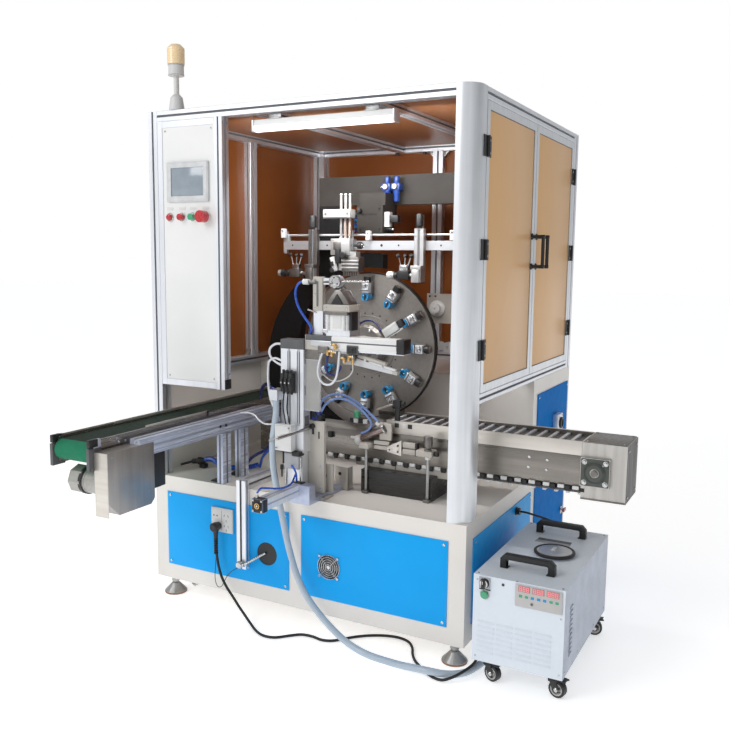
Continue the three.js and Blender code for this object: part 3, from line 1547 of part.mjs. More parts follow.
// Swivel caster: top plate, fork, wheel and brake lever, trailing towards the given angle
function casterSolid(x, y, degrees) {
  const wheelRadius = 25;
  const wheelHalf = 9;
  const trail = 16;
  const forkHalf = 13;
  const forkWall = 3;
  const plateRadius = 20;
  const plateThick = 6;
  const forkLong = 14;
  const leverReach = 42;
  const leverHalf = 7;
  const leverThick = 5;
  const hubRadius = 8;
  const top = coolerBottom - clearance;
  const crown = top - plateThick;
  const forkLow = wheelRadius - hubRadius;
  const wheel = rod('y', [trail, -wheelHalf, wheelRadius], wheelRadius, 2 * wheelHalf, 18);
  const hub = rod('y', [trail, -forkHalf, wheelRadius], hubRadius, 2 * forkHalf, smallSides);
  const crownLow = 2 * wheelRadius + forkWall;
  const cheeks = [-forkHalf, forkHalf - forkWall].map((side) => prism('y', [
    [trail - hubRadius, forkLow], [trail + hubRadius, forkLow], [forkLong, crown], [-forkLong, crown],
  ], side, side + forkWall));
  const body = join(
    wheel, hub, cheeks,
    block([-forkLong, -forkHalf, crownLow], [forkLong, forkHalf, crown + clearance]),
    rod('z', [0, 0, crown], plateRadius, plateThick, smallSides),
    block([forkLong - leverThick, -leverHalf, crownLow], [leverReach, leverHalf, crownLow + leverThick]),
  );
  return body.rotate([0, 0, degrees]).translate([x, y, 0]);
}

// Cords: a round section pushed along a smooth route, cut flat and square at both ends
function cordSolid(route, radius, sides, steps) {
  const curve = new THREE.CatmullRomCurve3(route.map((p) => new THREE.Vector3(...p)), false, 'centripetal');
  const section = new THREE.Shape();
  for (let i = 0; i < sides; i += 1) {
    const angle = 2 * Math.PI * i / sides;
    const point = [radius * Math.cos(angle), radius * Math.sin(angle)];
    if (i === 0) section.moveTo(...point);
    else section.lineTo(...point);
  }
  return solidOf(new THREE.ExtrudeGeometry(section, { steps, extrudePath: curve, bevelEnabled: false }));
}

const plugX = 292;
const plugZ = 308;
const plugHalf = 16;
const plugDeep = 34;
const plugFront = -clearance - panelThick - socketThick - clearance - plugDeep;
const plugCordY = plugFront + plugDeep / 2;

function buildCords() {
  const group = new THREE.Group();
  const reliefLength = 26;
  const reliefRadius = 7;
  const plug = join(
    block(
      [plugX - plugHalf, plugFront, plugZ - plugHalf],
      [plugX + plugHalf, plugFront + plugDeep, plugZ + plugHalf],
    ),
    turned('z', [plugX, plugCordY, plugZ - plugHalf - reliefLength], [
      [0, 0], [cordRadius + clearance, 0], [reliefRadius, reliefLength], [0, reliefLength + clearance],
    ], smallSides),
  );
  addPart(group, 'mains_plug', plug, finish.black, [plugX, plugFront, plugZ]);

  const cordStart = plugZ - plugHalf - reliefLength - clearance;
  const onFloor = cordRadius + 3 * clearance;
  const inletEnd = coolerBack + connectorReach + clearance;
  const mainsRoute = [
    [plugX, plugCordY, cordStart], [plugX, plugCordY, 240], [297, -30, 205], [305, -31, 168], [320, -33, 132],
    [344, -37, 102], [374, -43, 77], [404, -50, 52], [436, -58, 29], [470, -72, 12], [508, -94, onFloor],
    [548, -110, onFloor], [586, -103, onFloor], [620, -70, onFloor], [652, -42, onFloor], [690, -37, onFloor],
    [730, -43, onFloor], [762, -31, onFloor], [784, -6, onFloor], [812, 28, onFloor], [850, 61, onFloor],
    [900, 87, onFloor], [944, 94, onFloor], [980, 83, onFloor], [1008, 52, onFloor], [1027, 14, onFloor],
    [1050, -20, onFloor], [1080, -48, onFloor], [1112, -72, onFloor], [1144, -90, onFloor], [1174, -94, 8],
    [1202, -78, 18], [1222, -50, 27], [1231, -20, 30], [1233, 14, 30], [1227, 50, 28], [1223, 92, 14],
    [1234, 144, 7], [1258, 220, onFloor], [1300, 320, onFloor], [1338, 400, onFloor], [inletX, 468, onFloor],
    [inletX, 520, 9], [inletX, 562, 32], [inletX, 582, 74], [inletX, 572, 120],
    [inletX, 548, inletZ - clearance],
    [inletX, inletEnd, inletZ],
  ];
  addPart(group, 'mains_cord', cordSolid(mainsRoute, cordRadius, 8, 80), finish.black);

  const hoseFloor = hoseRadius + 2 * clearance;
  const hoseRoute = [
    [hoseX, hoseY, hoseTop], [hoseX, hoseY, 730], [532, -30, 641], [534, -31, 558], [551, -33, 476],
    [575, -38, 387],
    [604, -46, 297], [640, -56, 217], [680, -62, 156], [724, -62, 108], [770, -60, 68], [818, -60, 36],
    [868, -64, 18],
    [920, -72, hoseFloor], [980, -78, hoseFloor], [1036, -84, 14], [1088, -90, 20], [1132, -90, 22.5],
    [1166, -76, 17],
    [1196, -50, hoseFloor], [1220, -22, hoseFloor], [1234, 20, hoseFloor], [1246, 80, hoseFloor],
    [1274, 170, hoseFloor],
    [1324, 270, hoseFloor], [1374, 360, hoseFloor], [1398, 440, hoseFloor], [spigotX, 520, 13],
    [spigotX, 576, 26],
    [spigotX, 612, 70], [spigotX, 618, 124], [spigotX, 596, 176], [spigotX, 556, spigotZ - clearance],
    [spigotX, inletEnd, spigotZ],
  ];
  addPart(group, 'coolant_hose', cordSolid(hoseRoute, hoseRadius, 10, 72), finish.grey);

  const linkStart = baseWidth + clearance + panelThick / 2 + grommetReach + clearance;
  const linkRoute = [
    [linkStart, linkOutY, linkOutZ], [1236, linkOutY, linkOutZ], [1262, 484, 363], [1296, 520, 344],
    [1336, 556, 318], [1382, 582, 292], [1420, 584, 278], [linkX, 562, linkZ], [linkX, inletEnd, linkZ],
  ];
  addPart(group, 'link_cable', cordSolid(linkRoute, linkRadius, 8, 28), finish.black);
  return group;
}

// The whole unit, standing on Z = 0 with its origin under the middle of everything but the cords
const cordNames = ['mains_plug', 'mains_cord', 'coolant_hose', 'link_cable'];
const unit = new THREE.Group();
unit.add(buildBase(), buildEnclosure(), buildControls(), buildTopFittings(), buildDial(), buildHead());
unit.add(buildPickUnit(), buildInfeed(), buildOutfeed(), buildCooler(), buildCords());
const reach = new THREE.Box3();
unit.updateMatrixWorld(true);
unit.traverse((piece) => {
  if (piece.isMesh && !cordNames.includes(piece.name)) reach.expandByObject(piece, true);
});
const middle = reach.getCenter(new THREE.Vector3());
unit.position.set(-middle.x, -middle.y, -reach.min.z);

export default unit;
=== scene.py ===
import math
from itertools import product

import bmesh
import bpy
from mathutils import Matrix, Vector


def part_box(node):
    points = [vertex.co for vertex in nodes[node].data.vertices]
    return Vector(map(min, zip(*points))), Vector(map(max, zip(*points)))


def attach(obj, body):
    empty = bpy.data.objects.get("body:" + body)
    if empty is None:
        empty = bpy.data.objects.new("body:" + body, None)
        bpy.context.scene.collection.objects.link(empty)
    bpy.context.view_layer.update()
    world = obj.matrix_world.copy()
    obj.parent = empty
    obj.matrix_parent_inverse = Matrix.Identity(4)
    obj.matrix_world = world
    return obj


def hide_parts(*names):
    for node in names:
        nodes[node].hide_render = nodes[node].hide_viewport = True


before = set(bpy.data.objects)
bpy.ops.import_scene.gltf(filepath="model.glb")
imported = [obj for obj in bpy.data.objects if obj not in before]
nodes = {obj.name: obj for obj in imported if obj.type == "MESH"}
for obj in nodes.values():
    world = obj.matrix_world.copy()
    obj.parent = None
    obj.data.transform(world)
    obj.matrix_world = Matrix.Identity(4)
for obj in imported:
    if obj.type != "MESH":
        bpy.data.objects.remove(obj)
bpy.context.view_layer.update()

# Pieces are built in the machine's own millimetres, as the source of the part is: X from the base's left
# side, Y from its front and Z from the floor. toRow turns them into the frame's metres.
millimetre = 0.001
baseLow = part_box("base_cabinet")[0]
machineOrigin = Vector((baseLow.x, baseLow.y, 0))
toRow = Matrix.Translation(machineOrigin) @ Matrix.Scale(millimetre, 4)
alongX, alongY, alongZ = 0, 1, 2
toLeft, toRight = (-1, 0, 0), (1, 0, 0)
toFront, toBack = (0, -1, 0), (0, 1, 0)
down, up = (0, 0, -1), (0, 0, 1)
tableZ = 452.6  # just above the base's table
print("frame loaded:", len(nodes), "nodes")


def addObject(name, data):
    made = bpy.data.objects.new(name, data)
    bpy.context.scene.collection.objects.link(made)
    return made


# Camera, at the photograph's own place
cameraView = dict(
    place=(2.0421, -2.2254, 1.2323), yaw=-0.490, pitch=0.128, roll=0.010, lens=40.78, sensor=36, near=0.05,
    far=100,
)


def makeCamera(view):
    data = bpy.data.cameras.new("camera")
    data.lens, data.sensor_width = view["lens"], view["sensor"]
    data.clip_start, data.clip_end = view["near"], view["far"]
    camera = addObject("camera", data)
    place = Matrix.Translation(machineOrigin + Vector(view["place"]))
    turn = Matrix.Rotation(-view["yaw"], 4, "Z") @ Matrix.Rotation(math.pi / 2 - view["pitch"], 4, "X")
    camera.matrix_world = place @ turn @ Matrix.Rotation(view["roll"], 4, "Z")
    bpy.context.scene.camera = camera


makeCamera(cameraView)
bpy.context.scene.view_settings.view_transform = "Standard"


# Shader maths: a wrapped socket adds Math nodes for the operators
class Wire:
    def __init__(self, paint, socket):
        self.paint = paint
        self.socket = socket

    def math(self, operation, other, turned=False):
        first, second = (other, self) if turned else (self, other)
        return self.paint.node("ShaderNodeMath", dict(operation=operation), [first, second])

    def __add__(self, other):
        return self.math("ADD", other)

    def __radd__(self, other):
        return self.math("ADD", other, True)

    def __sub__(self, other):
        return self.math("SUBTRACT", other)

    def __rsub__(self, other):
        return self.math("SUBTRACT", other, True)

    def __mul__(self, other):
        return self.math("MULTIPLY", other)

    def __rmul__(self, other):
        return self.math("MULTIPLY", other, True)

    def __gt__(self, other):
        return self.math("GREATER_THAN", other)

    def __lt__(self, other):
        return self.math("LESS_THAN", other)


# The nodes of a material or of the sky: values and links go into sockets by their name or number
class Paint:
    def __init__(self, name, kind=bpy.data.materials, shader="Principled BSDF"):
        self.material = kind.new(name)
        self.material.use_nodes = True
        self.tree = self.material.node_tree
        self.shader = self.tree.nodes[shader]

    def link(self, value, socket):
        if isinstance(value, Wire):
            self.tree.links.new(value.socket, socket)
        elif value is not None:
            socket.default_value = value

    def node(self, kind, settings=None, values=(), output=0):
        made = self.tree.nodes.new(kind)
        for key, value in (settings or {}).items():
            setattr(made, key, value)
        named = values.items() if isinstance(values, dict) else enumerate(values)
        for key, value in named:
            self.link(value, made.inputs[key])
        return Wire(self, made.outputs[output])

    def place(self, stretch):
        spot = self.node("ShaderNodeTexCoord", output="Object")
        if tuple(stretch) == (1, 1, 1):
            return spot
        return self.node("ShaderNodeMapping", dict(vector_type="POINT"), {"Vector": spot, "Scale": stretch})

    def axis(self, which, spot=None):
        return self.node("ShaderNodeSeparateXYZ", None, [spot or self.place((1, 1, 1))], which)

    def noise(self, size, detail=3.0, stretch=(1, 1, 1)):
        values = {"Vector": self.place(stretch), "Scale": 1 / size, "Detail": detail}
        return self.node("ShaderNodeTexNoise", None, values, "Fac")

    # A Mix node's two colours are its sockets 6 and 7, and its mixed colour is output 2
    def mix(self, share, first, second):
        values = {"Factor": share}
        for key, value in ((6, first), (7, second)):
            values[key] = value if isinstance(value, Wire) else (*value, 1)
        return self.node("ShaderNodeMix", dict(data_type="RGBA"), values, 2)

    def range(self, value, low, high, fromLow=0.3, fromHigh=0.7):
        return self.node("ShaderNodeMapRange", None, [value, fromLow, fromHigh, low, high])

    def bump(self, height, strength, distance):
        values = {"Height": height, "Strength": strength, "Distance": distance}
        return self.node("ShaderNodeBump", None, values, "Normal")

    # Two close tones in soft clouds
    def clouded(self, color, shade, size, detail=3.0):
        return self.mix(self.range(self.noise(size, detail), 0, 1), color, shade)

    # Two close tones along a brushed grain
    def brushed(self, grain, color, shade):
        return self.mix(self.range(grain * 0.6 + self.noise(0.08) * 0.4, 0, 1), color, shade)

    # Sockets are named as Blender names them, run together: baseColor, specularIorLevel
    def finish(self, **sockets):
        for key, value in sockets.items():
            name = key[0].upper() + "".join(" " + c if c.isupper() else c for c in key[1:])
            if name.endswith("Color") and not isinstance(value, Wire):
                value = (*value, 1)
            self.link(value, self.shader.inputs[name.replace("Ior", "IOR")])
        return self.material


def darker(color, share):
    return tuple(value * share for value in color)


def machineSpot(x, y, z):
    return toRow @ Vector((x, y, z))


# Where a plane of the machine, given in millimetres along one axis, lies in the frame
def planeAt(axis, place):
    return machineSpot(place, place, place)[axis]


def powderCoat(name, color, shade, rough=0.42, gloss=0.5, coat=0.15):
    paint = Paint(name)
    return paint.finish(
        baseColor=paint.clouded(color, shade, 0.22, 4),
        roughness=paint.range(paint.noise(0.03), rough - 0.05, rough + 0.07),
        normal=paint.bump(paint.noise(0.0011, 2), 0.12, 0.0004),
        specularIorLevel=gloss, coatWeight=coat, coatRoughness=0.25,
    )


def brushedMetal(name, color, shade, rough, stretch, metal, size=0.012, bump=0.04):
    paint = Paint(name)
    grain = paint.noise(size, 5, stretch)
    return paint.finish(
        baseColor=paint.brushed(grain, color, shade), metallic=metal,
        roughness=paint.range(grain, rough - 0.07, rough + 0.1), normal=paint.bump(grain, bump, 0.0003),
    )


def mouldedPlastic(name, color, rough=0.45, grain=0.0009, coat=0.0, wear=0.82):
    paint = Paint(name)
    return paint.finish(
        baseColor=paint.clouded(color, darker(color, wear), 0.03),
        roughness=paint.range(paint.noise(0.006), rough - 0.06, rough + 0.08),
        normal=paint.bump(paint.noise(grain, 2), 0.1, 0.0002), coatWeight=coat, coatRoughness=0.12,
    )


# Tinted sheet with painted light: its outer side is painted paler as lit and its inner side painted dark as
# shade; axis and middle say where the two sides part
def tintedSheet(name, axis, middle, outerIsMore, outer, inner):
    paint = Paint(name)
    grain = paint.noise(0.004, 3, (1, 1, 18))
    side = paint.axis(axis) > planeAt(axis, middle)
    shade = paint.range(paint.noise(0.35) * 0.8 + grain * 0.2, 0, 1)
    lit = paint.mix(shade, outer, darker(outer, 0.93))
    dark = paint.mix(shade, inner, darker(inner, 0.78))
    return paint.finish(
        baseColor=paint.mix(side if outerIsMore else 1 - side, dark, lit),
        roughness=paint.range(grain, 0.3, 0.42),
        normal=paint.bump(grain, 0.05, 0.0004), specularIorLevel=0.3, coatWeight=0.05, coatRoughness=0.2,
    )


# Metal or paint that turns into a second finish past some planes, as a black part bolted on a bright one; the
# cooler's paint and the outfeed belt use it for painted shade
def partedMetal(
    name, planes, color, shade, rough, metal, second, secondMetal=0.0, stretch=(1, 1, 0.03), gloss=0.5,
):
    paint = Paint(name)
    grain = paint.noise(0.012, 5, stretch)
    past = None
    for axis, middle, more in planes:
        edge = planeAt(axis, middle)
        side = paint.axis(axis) > edge if more else paint.axis(axis) < edge
        past = side if past is None else past + side
    past = past > 0.5
    other = paint.clouded(second, darker(second, 0.8), 0.08)
    return paint.finish(
        baseColor=paint.mix(past, paint.brushed(grain, color, shade), other),
        metallic=past * secondMetal + (1 - past) * metal, specularIorLevel=gloss,
        roughness=paint.range(grain, rough - 0.07, rough + 0.1), normal=paint.bump(grain, 0.06, 0.0003),
    )


def glowing(name, color, strength, tone=(0.9, 0.93, 1)):
    paint = Paint(name)
    glow = paint.mix(paint.range(paint.noise(0.05, 2), 0, 0.25), color, tone)
    return paint.finish(baseColor=color, emissionColor=glow, emissionStrength=strength, roughness=0.3)


creamPaint = powderCoat("cream_paint", (0.80, 0.765, 0.72), (0.75, 0.715, 0.67))
# The front panels' blue paint, painted darker on the rear side panel as shade
sideBlueShaded = powderCoat("side_blue_shaded", (0.003, 0.18, 0.56), (0.003, 0.16, 0.52), 0.5, gloss=0.02, coat=0.0)
bluePaint = powderCoat("blue_paint", (0.003, 0.39, 0.90), (0.003, 0.36, 0.85), 0.42, gloss=0.2, coat=0.0)
whitePaint = powderCoat("white_paint", (0.82, 0.82, 0.81), (0.77, 0.77, 0.765), 0.38)
# Cooler paint: one pale blue paint, with its right side past x 1512.5 painted darker blue as shade
coolerPaintShadedRight = partedMetal(
    "cooler_paint_shaded_right", [(alongX, 1512.5, True)], (0.72, 0.775, 0.84), (0.69, 0.745, 0.81), 0.42, 0.0,
    (0.52, 0.575, 0.68), 0.0, (1, 1, 1), 0.4,
)
beigeSteel = powderCoat("beige_steel", (0.50, 0.47, 0.42), (0.44, 0.41, 0.37), 0.34)
aluminium = brushedMetal("aluminium", (0.84, 0.86, 0.90), (0.75, 0.77, 0.81), 0.38, (1, 1, 0.03), 0.75)
aluminiumX = brushedMetal("aluminium_x", (0.64, 0.65, 0.67), (0.54, 0.55, 0.57), 0.36, (0.03, 1, 1), 0.75)
aluminiumY = brushedMetal("aluminium_y", (0.48, 0.53, 0.66), (0.41, 0.45, 0.57), 0.36, (1, 0.03, 1), 0.75)
stainless = brushedMetal("stainless", (0.30, 0.275, 0.25), (0.22, 0.205, 0.185), 0.3, (0.03, 1, 1), 0.9)
paleSteel = brushedMetal("pale_steel", (0.72, 0.68, 0.62), (0.62, 0.58, 0.53), 0.36, (0.03, 1, 1), 0.7)
coverSteel = brushedMetal(
    "cover_steel", (0.42, 0.395, 0.37), (0.33, 0.31, 0.29), 0.36, (1, 1, 0.03), 0.85, bump=0.01,
)
brownSteel = brushedMetal("brown_steel", (0.30, 0.235, 0.215), (0.22, 0.17, 0.155), 0.28, (0.03, 1, 1), 0.8)
springSteel = brushedMetal(
    "spring_steel", (0.42, 0.33, 0.28), (0.30, 0.23, 0.20), 0.32, (1, 1, 1), 0.8, 0.006,
)
# Aluminium of the head's slides and print head, painted darker than the frame's as shade
headMetalShaded = brushedMetal("head_metal_shaded", (0.56, 0.555, 0.55), (0.45, 0.445, 0.44), 0.36, (1, 1, 0.05), 0.7)
motorGrey = brushedMetal("motor_grey", (0.44, 0.43, 0.40), (0.34, 0.33, 0.31), 0.4, (1, 1, 1), 0.4, 0.006)
chrome = brushedMetal("chrome", (0.66, 0.66, 0.66), (0.50, 0.50, 0.50), 0.2, (1, 1, 1), 1.0, 0.02)
zincPlate = brushedMetal("zinc_plate", (0.48, 0.48, 0.475), (0.36, 0.36, 0.355), 0.34, (1, 1, 1), 0.9, 0.004)
darkSteel = brushedMetal("dark_steel", (0.24, 0.225, 0.21), (0.17, 0.16, 0.15), 0.36, (1, 1, 1), 0.85, 0.01)
brass = brushedMetal("brass", (0.70, 0.47, 0.20), (0.55, 0.35, 0.14), 0.28, (1, 1, 1), 0.95, 0.004)
slotShade = mouldedPlastic("slot_shade", (0.15, 0.155, 0.17), 0.6)
blackPlastic = mouldedPlastic("black_plastic", (0.016, 0.016, 0.017), 0.42)
polePlastic = mouldedPlastic("pole_plastic", (0.62, 0.62, 0.61), 0.4, wear=0.92)
greyPlastic = mouldedPlastic("grey_plastic", (0.42, 0.43, 0.45), 0.45)
darkGreyPlastic = mouldedPlastic("dark_grey_plastic", (0.11, 0.112, 0.118), 0.5)
# The head clamp's white plastic, painted pale grey as shade
clampWhiteShaded = mouldedPlastic("clamp_white_shaded", (0.46, 0.455, 0.44), 0.4, coat=0.1, wear=0.92)
palePlastic = mouldedPlastic("pale_plastic", (0.66, 0.67, 0.68), 0.4)
whitePlastic = mouldedPlastic("white_plastic", (0.70, 0.70, 0.69), 0.32, coat=0.2, wear=0.94)
redPlastic = mouldedPlastic("red_plastic", (0.55, 0.02, 0.03), 0.28, coat=0.5)
regulatorBlue = mouldedPlastic("regulator_blue", (0.02, 0.07, 0.34), 0.35, coat=0.3)
plateGrey = mouldedPlastic("plate_grey", (0.36, 0.355, 0.345), 0.35, coat=0.2, wear=0.9)
greenPlastic = mouldedPlastic("green_plastic", (0.05, 0.38, 0.19), 0.28, coat=0.5)
bluePlastic = mouldedPlastic("blue_plastic", (0.01, 0.26, 0.55), 0.3, coat=0.4)
deepBluePlastic = mouldedPlastic("deep_blue_plastic", (0.012, 0.05, 0.30), 0.3, coat=0.4)
amberLens = mouldedPlastic("amber_lens", (0.92, 0.70, 0.42), 0.25, coat=0.6, wear=0.9)
bearingIron = mouldedPlastic("bearing_iron", (0.075, 0.085, 0.075), 0.4)
displayGrey = mouldedPlastic("display_grey", (0.50, 0.485, 0.475), 0.35, coat=0.3, wear=0.94)
digitGlass = mouldedPlastic("digit_glass", (0.42, 0.22, 0.22), 0.2, coat=0.4, wear=0.9)
capClear = mouldedPlastic("cap_clear", (0.40, 0.40, 0.40), 0.2, coat=0.6, wear=0.85)
tyrePale = mouldedPlastic("tyre_pale", (0.62, 0.61, 0.59), 0.42, wear=0.9)
screenGlass = mouldedPlastic("screen_glass", (0.28, 0.33, 0.38), 0.12, coat=0.8, wear=0.9)
greyHose = mouldedPlastic("grey_hose", (0.45, 0.53, 0.61), 0.35, 0.003, coat=0.3, wear=0.92)
cordRubber = mouldedPlastic("cord_rubber", (0.012, 0.012, 0.013), 0.5, 0.002)
blueHose = mouldedPlastic("blue_hose", (0.012, 0.09, 0.55), 0.25, 0.003, coat=0.5)
deepBlueHose = mouldedPlastic("deep_blue_hose", (0.01, 0.02, 0.16), 0.3, 0.003, coat=0.4)
paleBlueHose = mouldedPlastic("pale_blue_hose", (0.22, 0.35, 0.72), 0.25, 0.003, coat=0.5)
whiteHose = mouldedPlastic("white_hose", (0.72, 0.74, 0.78), 0.3, 0.003, coat=0.4, wear=0.93)
clearHose = mouldedPlastic("clear_hose", (0.55, 0.53, 0.50), 0.2, 0.003, coat=0.6, wear=0.9)
lampTube = glowing("lamp_tube", (1, 1, 1), 2.2)
redDigits = glowing("red_digits", (0.80, 0.20, 0.22), 0.4, (0.85, 0.32, 0.34))

# Amber sheets: the outer side painted pale tan as lit, each inner side painted dark amber as shade
sheetOuterLit = (0.76, 0.46, 0.22)
amberDoor = tintedSheet("amber_door", alongX, 1190, True, sheetOuterLit, (0.22, 0.062, 0.013))
amberLeft = tintedSheet("amber_left", alongX, 6, False, sheetOuterLit, (0.26, 0.078, 0.017))
amberRear = tintedSheet("amber_rear", alongY, 1124, True, sheetOuterLit, (0.26, 0.072, 0.011))
amberRoof = tintedSheet("amber_roof", alongZ, 1715, True, sheetOuterLit, (0.42, 0.18, 0.08))
doorRim = partedMetal(
    "door_rim", [(alongX, 1200.6, True)], (0.80, 0.82, 0.85), (0.70, 0.72, 0.75), 0.38, 0.75,
    (0.016, 0.016, 0.017),
)
dialSteel = partedMetal(
    "dial_steel", [(alongY, 439.8, True)], (0.30, 0.275, 0.25), (0.24, 0.22, 0.20), 0.36, 0.75,
    (0.02, 0.02, 0.02), 0.3, (1, 1, 1),
)
framePaint = partedMetal(
    "support_paint", [(alongZ, 1431.9, True), (alongY, 577.9, False), (alongX, 899.8, True)],
    (0.013, 0.013, 0.014), (0.02, 0.02, 0.021), 0.42, 0.0, (0.052, 0.047, 0.042), 0.0, (1, 1, 1), 0.12,
)
# Outfeed belt: green, with its top run painted near-black as shade and as a reflection of the black guides;
# its near end and lower run keep the bright green
beltGreenShadedTop = partedMetal(
    "belt_green_shaded_top", [(alongY, -517, False), (alongZ, 640, False)], (0.008, 0.024, 0.012), (0.006, 0.019, 0.010),
    0.85, 0.0, (0.008, 0.20, 0.10), 0.0, (1, 1, 1),
)
infeedSteel = partedMetal(
    "infeed_steel", [(alongZ, 530.2, False)], (0.25, 0.23, 0.21), (0.185, 0.17, 0.155), 0.3, 0.9,
    (0.03, 0.029, 0.028), 0.2, (0.03, 1, 1),
)
boxSteel = partedMetal(
    "box_steel", [(alongX, 1611.6, True)], (0.56, 0.54, 0.51), (0.43, 0.41, 0.39), 0.34, 0.75,
    (0.05, 0.042, 0.04), 0.0, (1, 1, 0.05), 0.12,
)
outfeedMetal = partedMetal(
    "outfeed_metal", [(alongX, 250, True)], (0.44, 0.40, 0.365), (0.33, 0.30, 0.275), 0.26, 0.9,
    (0.64, 0.69, 0.82), 0.3, (1, 0.03, 1),
)
slatFinish = partedMetal(
    "slat_finish", [(alongZ, 684.3, True), (alongZ, 537.7, False)],
    (0.13, 0.125, 0.115), (0.09, 0.086, 0.08), 0.4, 0.3, (0.74, 0.76, 0.82), 0.2, (1, 0.03, 1),
)
print("materials made")

nodeFinishes = {
    creamPaint: "base_cabinet",
    bluePaint: "front_panel_left front_panel_right side_panel_front",
    sideBlueShaded: "side_panel_rear",
    boxSteel: "infeed_drive_box",
    headMetalShaded: "head_slide_left head_slide_right print_head",
    whitePaint: "control_panel lamp_fixture",
    coolerPaintShadedRight: "cooler_body",
    framePaint: "support_frame",
    aluminium: "enclosure_frame control_cabinet lift_column lift_carriage",
    doorRim: "corner_post side_door_front side_door_rear",
    aluminiumX: "head_rail gripper",
    aluminiumY: "cross_rail",
    outfeedMetal: "outfeed_frame",
    stainless: "end_roller",
    coverSteel: "drive_cover",
    infeedSteel: "infeed_frame",
    slatFinish: "slat_belt",
    motorGrey: "gear_motor",
    dialSteel: "dial_plate",
    darkSteel: "dial_bearing dial_hub drive_shaft",
    zincPlate: "foot_front_left foot_front_right foot_rear_left foot_rear_right",
    amberLeft: "left_wall_panel",
    amberRear: "rear_wall_panel",
    amberRoof: "roof_panel",
    palePlastic: "touch_screen",
    polePlastic: "signal_pole",
    greyPlastic: "filler_cap",
    redPlastic: "stop_button emergency_stop",
    greenPlastic: "start_button cooler_button",
    amberLens: "signal_lens",
    beltGreenShadedTop: "outfeed_belt",
    blackPlastic: "cooler_switch cooler_handle_front cooler_handle_rear mains_plug caster_front_left "
    "caster_front_right caster_rear_left caster_rear_right",
    cordRubber: "mains_cord link_cable",
    greyHose: "coolant_hose",
}
for finish, names in nodeFinishes.items():
    for name in names.split():
        mesh = nodes[name].data
        mesh.materials.clear()
        mesh.materials.append(finish)


def roundEdges(part, edges, offset, segments=2):
    bmesh.ops.bevel(
        part, geom=edges, offset=offset, offset_type="OFFSET", segments=segments, profile=0.5, affect="EDGES",
        clamp_overlap=True, material=-1,
    )


# Turns a part's own Z along a way and moves its origin to a place
def stand(part, place, along):
    part.transform(Matrix.Translation(place) @ Vector(along).to_track_quat("Z", "Y").to_matrix().to_4x4())


# Spins a profile round Z into a closed solid
def spin(part, sides):
    bmesh.ops.spin(
        part, geom=part.verts[:] + part.edges[:], cent=(0, 0, 0), axis=up, angle=math.tau, steps=sides,
        use_merge=True,
    )
    bmesh.ops.remove_doubles(part, verts=part.verts, dist=0.001)
    bmesh.ops.recalc_face_normals(part, faces=part.faces)


# Pushes a flat outline along an axis from low to high; the loops after the first are holes
def prism(loops, axis, low, high):
    part = bmesh.new()
    across = [a for a in range(3) if a != axis]
    for loop in loops:
        verts = []
        for spot in loop:
            point = [low] * 3
            point[across[0]], point[across[1]] = spot
            verts.append(part.verts.new(point))
        for pair in zip(verts, verts[1:] + verts[:1]):
            part.edges.new(pair)
    if len(loops) > 1:
        bmesh.ops.triangle_fill(part, edges=part.edges[:], use_beauty=True)
    else:
        part.faces.new(part.verts)
    push = [0, 0, 0]
    push[axis] = high - low
    pushed = bmesh.ops.extrude_face_region(part, geom=part.faces[:])["geom"]
    bmesh.ops.translate(part, vec=push, verts=[v for v in pushed if isinstance(v, bmesh.types.BMVert)])
    bmesh.ops.recalc_face_normals(part, faces=part.faces)
    return part


# Corners of a rectangle between two spans, drawn in by an inset
def rectangle(us, vs, inset=0):
    (u0, u1), (v0, v1) = us, vs
    return [
        (u0 + inset, v0 + inset), (u1 - inset, v0 + inset), (u1 - inset, v1 - inset), (u0 + inset, v1 - inset),
    ]


# Places evenly round a circle, from a first angle in degrees
def circle(u, v, radius, count, first=0.0):
    angles = [math.radians(first) + math.tau * i / count for i in range(count)]
    return [(u + radius * math.cos(a), v + radius * math.sin(a)) for a in angles]


# Puts a part at a place, turned by an angle in radians
def turnedAt(place, angle, axis="Y"):
    return Matrix.Translation(place) @ Matrix.Rotation(angle, 4, axis)


